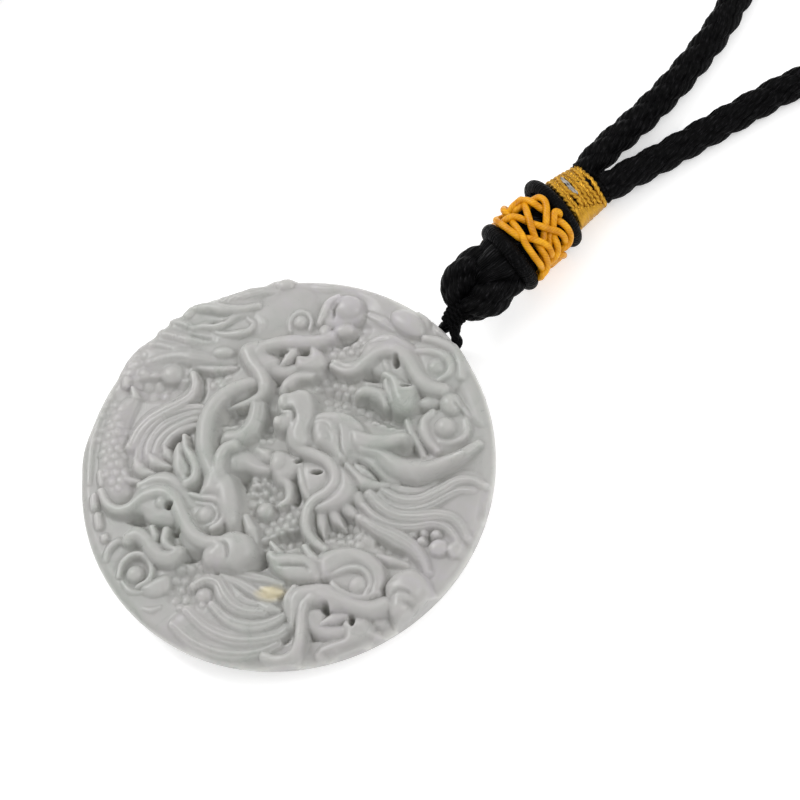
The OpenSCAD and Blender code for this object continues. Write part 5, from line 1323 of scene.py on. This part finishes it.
HANGING_ROUTE = (
    (23.2, 20.1, 6.1), (22.3, 19.4, 5.6), (21.75, 18.8, 4.7), (21.2, 18.75, 3.95), (20.4, 17.75, 3.7),
    (19.6, 16.6, 3.6), (19.2, 16.0, 3.6), (19.4, 15.3, 3.6), (20.0, 15.0, 3.6), (20.7, 15.2, 3.6),
    (22.0, 15.75, 3.7), (22.95, 16.45, 3.95), (22.9, 17.5, 4.8), (23.2, 18.45, 5.6), (24.0, 19.5, 6.1),
)
CINCH = (23.6, 19.8, 6.2)
NECK_ROUTE = (
    (41.3, 39.2, 4.1), (44.4, 43, 3.4), (50.3, 48.7, 2.1), (56.1, 54.6, 1.9), (61.5, 61.4, 1.9),
    (65.2, 69, 1.9), (63.6, 76.6, 1.9), (56.5, 82.1, 1.9), (43, 85, 1.9), (20, 86.5, 1.9), (-6, 87.2, 1.9),
    (-26, 87.3, 1.9), (-36.5, 87.2, 1.9), (-43, 85.5, 1.9), (-47.8, 80.8, 1.9), (-49.5, 74.3, 1.9),
    (-49.5, 64, 1.9), (-49.5, 44, 1.9), (-49.5, 14, 1.9), (-49.4, -12, 1.9), (-48, -32, 1.9),
    (-42, -46.5, 1.9), (-28, -53.6, 1.9), (-6, -55.2, 1.9), (36, -55.4, 1.9), (66, -52.5, 1.9),
    (77, -43, 1.9), (81.8, -28, 1.9), (82.4, -10, 1.9), (82.4, 10, 1.9), (82.4, 26, 1.9),
    (82.4, 36.6, 1.9), (82.3, 43, 1.9), (80.7, 47.9, 1.9), (76.5, 50.7, 1.9), (71.2, 50.4, 1.9),
    (65.6, 48.1, 1.9), (52.5, 41.6, 2.4), (47.6, 38.9, 3.3), (43.7, 36.6, 4),
)
NECK_DIAMETER = 3.8
# where the two strands run on into the gold wrap
STRAND_ENDS = (((40.4, 37.5, 4.2), (41.4, 39.32, 4.08)), ((41.8, 35.8, 4.2), (43.85, 36.7, 3.97)))
STRAND_END_SIZES = (1.4, 2.0)

# Thick cord: three twisted plies whose yarns run nearly along the cord

CORD_TWIST = dict(plies=3, lay=11.4, ply_share=0.69, yarns=15, yarn_depth=0.24)
CORD_SIDES = 54
CORD_SWELL = 1.1       # how much wider the loose cord is than its core
CORE_TWIST = dict(plies=6, lay=30.0, ply_share=0.4)
CORE_SIDES = 48
# steps of a smooth line, and between the rings of points along it
NECK_STEPS = (0.3, 0.34)
LOBE_STEPS = (0.2, 0.22)
CORE_STEPS = (0.2, 0.25)
LOOP_STEPS = (0.1, 0.12)
STRAND_STEP = 0.3
HAIR_STEP = 0.1


def above_table(points):
    """The points, with those under the table brought up to it."""
    points[..., 2] = np.maximum(points[..., 2], 0.0)
    return points


def make_neck_cord(material):
    """The free loop of thick cord."""
    line = route(NECK_ROUTE, NECK_STEPS)
    points, *rest = tube(line, NECK_DIAMETER * CORD_SWELL / 2, CORD_SIDES, **CORD_TWIST)
    cord = make_piece("neck_rope", above_table(points), *rest, material, "neck_cord", "black_cord")


def sizes_along(values, line):
    """Evenly spread values as one for each place of a line."""
    return np.interp(np.linspace(0, 1, len(line)), np.linspace(0, 1, len(values)), values)


def make_bight(material):
    """The two lobes, the strands' ends in the gold wrap, and the core inside the wraps."""
    lobes = ((LEFT_LOBE, LEFT_LOBE_SIZES), (RIGHT_LOBE, RIGHT_LOBE_SIZES))
    lines = [(route(places, LOBE_STEPS), sizes) for places, sizes in lobes]
    lines += [(evenly(np.array(places), STRAND_STEP), STRAND_END_SIZES) for places in STRAND_ENDS]
    parts = [tube(line, sizes_along(sizes, line), CORD_SIDES, **CORD_TWIST) for line, sizes in lines]
    line = route(CORE_LINE, CORE_STEPS)
    parts.append(tube(line, sizes_along(CORE_HALF_WIDTHS, line), CORE_SIDES, **CORE_TWIST))
    return make_piece("bight", *joined(parts), material, "cord_bight", "black_cord")


def around_knot(along, angle, radius):
    """Places along the knot from the lower collar's middle, in degrees round it from its top."""
    angle = np.radians(angle)[:, None]
    return (LOWER_COLLAR_AT + np.asarray(along)[:, None] * KNOT_LINE
            + np.asarray(radius)[:, None] * (np.cos(angle) * KNOT_ABOVE + np.sin(angle) * KNOT_SIDE))


# Collars: piece, node, middle along the knot, radius, thickness, and how far the left side lies further
# up the knot and the top further down

COLLARS = (
    ("collar_low", "lower_collar", 1.7, 4.15, 2.2, 1.1, 1.1),
    ("collar_high", "upper_collar", 10.9, 4.4, 1.9, 0.95, 0.7),
)
COLLAR_PLACES = 220
COLLAR_SIDES = 32
COLLAR_WINDINGS = 60   # ribs of thread round the collar
WINDING_DEPTH = 0.035


def make_collar(material, name, node, middle, radius, thickness, lean, nod):
    """A ring of cord round the knot, wound with thread."""
    angle = np.linspace(0.0, 360.0, COLLAR_PLACES, endpoint=False)
    turn = np.radians(angle)
    along = middle + lean * np.sin(turn) - nod * np.cos(turn)
    line = around_knot(along, angle, np.full(COLLAR_PLACES, radius))
    points, *rest = tube(line, thickness / 2, COLLAR_SIDES, above=tuple(KNOT_LINE), closed=True, **PLAIN,
                         lay=2 * math.pi * radius)
    points = points.reshape(COLLAR_PLACES, COLLAR_SIDES, 3)
    ribs = WINDING_DEPTH * np.sin(turn * COLLAR_WINDINGS)[:, None, None]
    points = above_table(points + ribs * unit(points - line[:, None, :]))
    return make_piece(name, points.reshape(-1, 3), *rest, material, node, "black_thread")


# Yellow lattice: each run's places along the knot, degrees round it, and over (1) or under (0) the others

LATTICE_RUNS = (
    ((2.6, 120, 0.5), (3.8, 84, 0), (5.1, 46, 0), (5.4, 37, 0.5), (6.2, 32, 1), (7.2, 29, 1),
     (7.6, 18, 1), (7.6, 5, 1), (7.7, -6, 0.6), (8, -17, 0), (7.7, -28, 0), (7, -38, 0), (6.2, -48, 0),
     (5.2, -63, 0), (4, -82, 0), (3, -105, 0.5)),
    ((6.5, 110, 0.5), (7.2, 70, 0), (8, 25, 0), (8.3, 14, 0.5), (8.8, 6, 1), (8.8, -4, 1), (8.1, -14, 1),
     (7.1, -23, 1), (6.3, -31, 0.6), (5.7, -38, 0), (5.1, -45, 0), (4.4, -51, 0), (3.4, -70, 0),
     (2.6, -92, 0)),
    ((8.7, 105, 0.5), (8.8, 65, 0), (8, 36, 0), (6.8, 16, 0.6), (5.7, 0, 1), (5, -10, 1), (4.3, -21, 1),
     (4, -31, 0.5), (3.8, -44, 0), (3.5, -54, 0.6), (3.4, -66, 1), (3.3, -80, 1), (2.8, -90, 1),
     (1.9, -93, 1), (1.9, -110, 0)),
    ((4.6, 112, 0), (3.6, 75, 0), (2.9, 45, 0), (2.5, 31, 0), (3, 27, 0.5), (3.5, 21, 1), (4.2, 16, 1),
     (4.5, 8, 1), (4.8, 0, 0.6), (5.2, -7, 0), (5.2, -17, 0.6), (5.5, -27, 1), (6.1, -38, 1),
     (6.9, -49, 1), (7.3, -59, 1), (7.4, -69, 1), (7.4, -84, 0.3), (7.3, -100, 0)),
    ((6, 90, 0), (4.4, 56, 0.2), (3, 38, 1), (2.5, 22, 1), (2.2, 6, 1), (2.1, -7, 1), (2.3, -15, 0.5),
     (2.8, -21, 0), (3.1, -27, 0.6), (3.5, -35, 1), (4.1, -46, 1), (4.5, -57, 1), (4.5, -68, 1),
     (4.8, -85, 0.3), (5.8, -112, 0)),
    ((4.3, 24, 0), (3.5, 7, 0.6), (3, -5, 1), (2.6, -17, 1), (2.1, -28, 1), (1.9, -41, 1), (1.9, -55, 1),
     (2.1, -68, 1), (2.5, -84, 0.5), (2.8, -107, 0)),
    ((9, -45, 0), (9, -33, 0.7), (8.5, -27, 1), (7.7, -33, 1), (7.1, -41, 0.5), (6.8, -51, 0),
     (6.2, -56, 0.6), (5.9, -65, 1), (5.6, -75, 1), (4.9, -82, 1), (4.3, -86, 0.6), (3.5, -95, 0)),
    ((8.2, -31, 0), (8.1, -38, 0.5), (8.3, -47, 1), (8.5, -60, 1), (8.4, -73, 1), (7.8, -82, 1),
     (6.9, -82, 1), (6.4, -84, 0.4), (5.9, -81, 0)),
    ((5.6, -88, 0), (5.9, -88, 1), (6.7, -98, 1), (7, -116, 0)),
    ((5, 30, 0), (4.9, 36, 0.5), (5.1, 44, 1), (6, 58, 0.8), (6.9, 80, 0)),
    ((5.3, 38, 0), (5.9, 27, 0.4), (6.9, 24, 0.3), (7.9, 23, 0)),
    ((4.2, 125, 0.5), (6.9, 150, 0), (9.2, 182, 1), (6.9, 214, 0), (4.2, 240, 0)),
    ((8.8, 125, 0.5), (6.9, 150, 1), (4.6, 182, 1), (6.2, 214, 1), (8, 240, 0)),
    ((5.5, 108, 0), (9, 150, 0), (6.9, 182, 1), (3.9, 214, 0), (6, 242, 0)),
    ((6.5, 104, 0), (4.2, 150, 1), (6.9, 182, 0), (8.8, 214, 1), (5, 242, 0)),
)
LATTICE_CORD = 0.94
LATTICE_SIDES = 18
LATTICE_UNDER = 4.4    # distance from the knot's axis
LATTICE_OVER = 5.2
LATTICE_TUCK = 1.4     # length over which an end goes in under the surface
LATTICE_TUCK_DEPTH = 1.1
LATTICE_STEPS = (0.15, 0.12)
LATTICE_ABOVE = tuple(KNOT_LINE * 0.1 + KNOT_ABOVE)   # a direction that no run follows


def make_lattice(material):
    """Yellow cord that crosses over and under itself round the knot."""
    parts = []
    for places in LATTICE_RUNS:
        p = spline(places, LATTICE_STEPS[0])
        reach = LATTICE_UNDER + (LATTICE_OVER - LATTICE_UNDER) * np.clip(p[:, 2], 0.0, 1.0)
        run = run_of(around_knot(p[:, 0], p[:, 1], reach))
        tuck = np.clip(1.0 - np.minimum(run, run[-1] - run) / LATTICE_TUCK, 0.0, 1.0)
        line = around_knot(p[:, 0], p[:, 1], reach - LATTICE_TUCK_DEPTH * tuck ** 2)
        parts.append(tube(evenly(line, LATTICE_STEPS[1]), LATTICE_CORD / 2, LATTICE_SIDES,
                          above=LATTICE_ABOVE, **STRAIGHT))
    return make_piece("lattice", *joined(parts), material, "lattice_wrap", "yellow_cord")


# Gold wrap: rings of thread twisted one way and the other by turns

GOLD_RINGS = 8
GOLD_THREAD = 0.8
GOLD_LEAN = 0.35       # how far a ring's left side lies further up the knot than its middle
GOLD_NOD = 0.4         # how far its top lies further down the knot
# where two rings part: after which ring, degrees round, half spread in degrees, and how far
GOLD_GAPS = ((2.5, 80.0, 38.0, 0.36), (6.5, 106.0, 28.0, 0.2), (1.5, 118.0, 18.0, 0.18))
GOLD_GAP_FADES = (0.4, 0.8)   # exponent of the parting: its start, and its fall from ring to ring
GOLD_PLACES = 230
GOLD_SIDES = 14
GOLD_LAY = 1.6
GOLD_PLIES = dict(plies=2, ply_share=0.68)
GOLD_STEPS = (0.1, 0.05)
PATCH_STITCHES = 9     # flat stitches side by side, which are the satin patch
PATCH_PLACES = 40
PATCH_STARTS, PATCH_ENDS = (128, 134), (188, 198)
PATCH_SLANT = 4.0      # degrees from one stitch's start to the next one's
PATCH_FIRST, PATCH_PITCH = 0.3, 0.68   # in rings
PATCH_LIFT, PATCH_LIFT_MORE = 0.26, 0.08
STITCH_HALF_HEIGHT = 0.24
STITCH_FLAT = 2.1


def gold_ring(ring, angle, lift=0.0):
    """Places of one ring round the two strands, in degrees from its left side over its top."""
    line = route(GOLD_LINE, GOLD_STEPS)
    share = (ring + 0.5) / GOLD_RINGS
    ahead, side, up = (v[len(line) // 2] for v in frames(line))
    middle = np.array([np.interp(share, np.linspace(0, 1, len(line)), line[:, k]) for k in range(3)])
    wide = three(GOLD_HALF_WIDTHS, share) - GOLD_THREAD / 2 + lift
    high = three(GOLD_HALF_HEIGHTS, share) - GOLD_THREAD / 2 + lift
    turn = np.radians(angle)[:, None]
    shift = GOLD_LEAN * np.cos(turn) + GOLD_NOD * (1.0 - np.sin(turn))
    for after, place, spread, amount in GOLD_GAPS:
        near = np.clip(1.0 - ((angle - place) / spread) ** 2, 0.0, 1.0)[:, None]
        fade = np.exp(GOLD_GAP_FADES[0] - GOLD_GAP_FADES[1] * np.abs(ring - after))
        shift = shift + amount * np.sign(ring - after) * fade * near
    return middle + shift * ahead + np.cos(turn) * wide * side + np.sin(turn) * high * up, ahead


def gold_rings():
    angle = np.linspace(-90.0, 270.0, GOLD_PLACES, endpoint=False)
    for ring in range(GOLD_RINGS):
        line, ahead = gold_ring(ring, angle)
        yield tube(line, GOLD_THREAD / 2, GOLD_SIDES, above=tuple(ahead), closed=True,
                   lay=GOLD_LAY if ring % 2 else -GOLD_LAY, **GOLD_PLIES)


def satin_patch(draw):
    """Flat stitches laid over the rings."""
    for k in range(PATCH_STITCHES):
        start = draw.uniform(*PATCH_STARTS) + PATCH_SLANT * k
        angle = np.linspace(start, draw.uniform(*PATCH_ENDS), PATCH_PLACES)
        lift = PATCH_LIFT + draw.uniform(0.0, PATCH_LIFT_MORE)
        line, ahead = gold_ring(PATCH_FIRST + PATCH_PITCH * k, angle, lift)
        taper = STITCH_HALF_HEIGHT * np.sin(np.linspace(0.1, math.pi - 0.1, PATCH_PLACES)) ** 0.5
        yield tube(line, taper, GOLD_SIDES, above=tuple(ahead), flat=STITCH_FLAT, **STRAIGHT)


def make_gold_wrap(material):
    parts = [*gold_rings(), *satin_patch(random.Random(5))]
    return make_piece("gold_binding", *joined(parts), material, "gold_wrap", "gold_thread")


# Grey threads, which have no node of their own

GAP_THREADS = 9
GAP_AFTER_RING = 2.5
GAP_STARTS, GAP_STARTS_LATER = 44, 18       # degrees round the wrap
GAP_ENDS, GAP_ENDS_EARLIER = 124, 24
GAP_LIFTS = (-0.05, 0.12)
GAP_WAVE = 0.05
GAP_THREAD_PITCH = 0.055
GAP_THREAD_RADIUS = 0.1
GAP_PLACES, GAP_SIDES = 24, 8
HAIRS = 3
HAIRS_AT = (22.7, 17.9, 4.9)
HAIRS_SPREAD = np.array([1.0, 1.0, 0.4])
HAIR_STARTS_WITHIN, HAIR_WANDERS = 0.7, 0.25
HAIR_RUN = (-0.5, -0.75, -0.25)     # a hair's course
HAIR_PLACES = (0.0, 0.8, 1.6)       # and its places along it
HAIR_RADIUS = 0.05
HAIR_SIDES = 6


def gap_threads(draw):
    """Threads that show where the gold wrap's rings part."""
    for k in range(GAP_THREADS):
        first = GAP_STARTS + draw.uniform(0, GAP_STARTS_LATER)
        last = GAP_ENDS - draw.uniform(0, GAP_ENDS_EARLIER)
        angle = np.linspace(first, last, GAP_PLACES)
        line, ahead = gold_ring(GAP_AFTER_RING, angle, draw.uniform(*GAP_LIFTS))
        aside = (k - GAP_THREADS // 2) * GAP_THREAD_PITCH + GAP_WAVE * np.sin(angle / 4 + k)
        yield tube(line + aside[:, None] * ahead, GAP_THREAD_RADIUS, GAP_SIDES, above=tuple(ahead), **PLAIN)


def scattered(draw, reach):
    return np.array([draw.uniform(-reach, reach) for _ in range(3)])


def cinch_hairs(draw):
    """Loose hairs at the cinch next to the jade."""
    for _ in range(HAIRS):
        start = np.array(HAIRS_AT) + scattered(draw, HAIR_STARTS_WITHIN) * HAIRS_SPREAD
        places = [start + along * np.array(HAIR_RUN) + scattered(draw, HAIR_WANDERS)
                  for along in HAIR_PLACES]
        yield tube(spline(places, HAIR_STEP), HAIR_RADIUS, HAIR_SIDES, **PLAIN)


def make_fray(material):
    draw = random.Random(8)
    parts = [*gap_threads(draw), *cinch_hairs(draw)]
    return make_piece("grey_fray", *joined(parts), material, None, "gold_thread")


# Thin cord through the stone, and the small knot that cinches the bight

LOOP_RADIUS = 0.82
LOOP_SIDES = 24
LOOP_TWIST = dict(plies=2, lay=4.2, ply_share=0.72, yarns=8, yarn_depth=0.05)
CINCH_RADII = (0.95, 1.05, 1.15, 1.25, 1.3)
CINCH_PITCH = 0.6
CINCH_MIDDLE = 2.6     # the ring's number at the cinch's own place
CINCH_LEAN = (1.0, 1.2, 0.6)
CINCH_THREAD = 0.46    # its radius
CINCH_PLACES, CINCH_SIDES = 60, 12
CINCH_TWIST = dict(plies=2, lay=1.6, ply_share=0.7)


def cinch_rings():
    """Rings of thin cord side by side, from the stone's side to the lobes' side."""
    middle = np.array(CINCH)
    axis = unit(np.array(LEFT_LOBE[-1]) + np.array(RIGHT_LOBE[-1]) - 2 * middle + np.array(CINCH_LEAN))
    side = unit(np.cross(axis, UPWARDS))
    above = np.cross(side, axis)
    angle = np.linspace(0, 2 * math.pi, CINCH_PLACES, endpoint=False)[:, None]
    for k, radius in enumerate(CINCH_RADII):
        centre = middle + axis * (k - CINCH_MIDDLE) * CINCH_PITCH
        ring = centre + radius * (np.cos(angle) * side + np.sin(angle) * above)
        yield tube(ring, CINCH_THREAD, CINCH_SIDES, above=tuple(axis), closed=True, **CINCH_TWIST)


def make_hanging_loop(material):
    parts = [tube(route(HANGING_ROUTE, LOOP_STEPS), LOOP_RADIUS, LOOP_SIDES, **LOOP_TWIST), *cinch_rings()]
    return make_piece("hanging_thread", *joined(parts), material, "hanging_loop", "black_thread")


# Light and floor: lamps as name, place, power and size

LAMPS = (("key", (-330.0, 330.0, 520.0), 1.85, 260.0), ("fill", (420.0, -60.0, 420.0), 1.0, 320.0))
LAMPS_AIM = (30.0, 20.0, 0.0)
SKY_STRENGTH = 0.885
FLOOR_HALF = 3.0       # metres
FLOOR_LEVEL = -0.00005


def lamp(name, place, power, size):
    data = bpy.data.lights.new(name, "AREA")
    data.energy, data.size, data.shape = power, size * MM, "DISK"
    back = unit(np.array(place) - np.array(LAMPS_AIM))
    right = unit(np.cross((0.0, 1.0, 0.0), back))
    stand(bpy.data.objects.new(name, data), np.array(place), right, np.cross(back, right), back)


def make_floor():
    mesh = bpy.data.meshes.new("floor")
    corners = [(FLOOR_HALF * x, FLOOR_HALF * y, 0) for x, y in ((-1, -1), (1, -1), (1, 1), (-1, 1))]
    mesh.from_pydata(corners, [], [(0, 1, 2, 3)])
    mesh.materials.append(plain_floor())
    ground = bpy.data.objects.new("floor", mesh)
    ground.location.z = FLOOR_LEVEL
    bpy.context.scene.collection.objects.link(ground)


def make_studio():
    world = bpy.data.worlds.new("studio")
    world.use_nodes = True
    sky = world.node_tree.nodes["Background"].inputs
    sky["Color"].default_value = WHITE
    sky["Strength"].default_value = SKY_STRENGTH
    bpy.context.scene.world = world
    for row in LAMPS:
        lamp(*row)
    make_floor()


# Everything is put together here

cord_black = black_thread("black_cord", 0.0, 75.0)
thread_black = black_thread("black_thread", 3.0, 2.0)
yellow = yellow_thread()
gold = gold_thread()

make_jade(jade())
hanging = make_hanging_loop(thread_black)
bight = make_bight(cord_black)
collars = [make_collar(thread_black, *row) for row in COLLARS]
lattice = make_lattice(yellow)
binding = make_gold_wrap(gold)
fray = make_fray(grey_thread())
make_neck_cord(cord_black)

make_studio()
bpy.context.scene.view_settings.view_transform = "Standard"
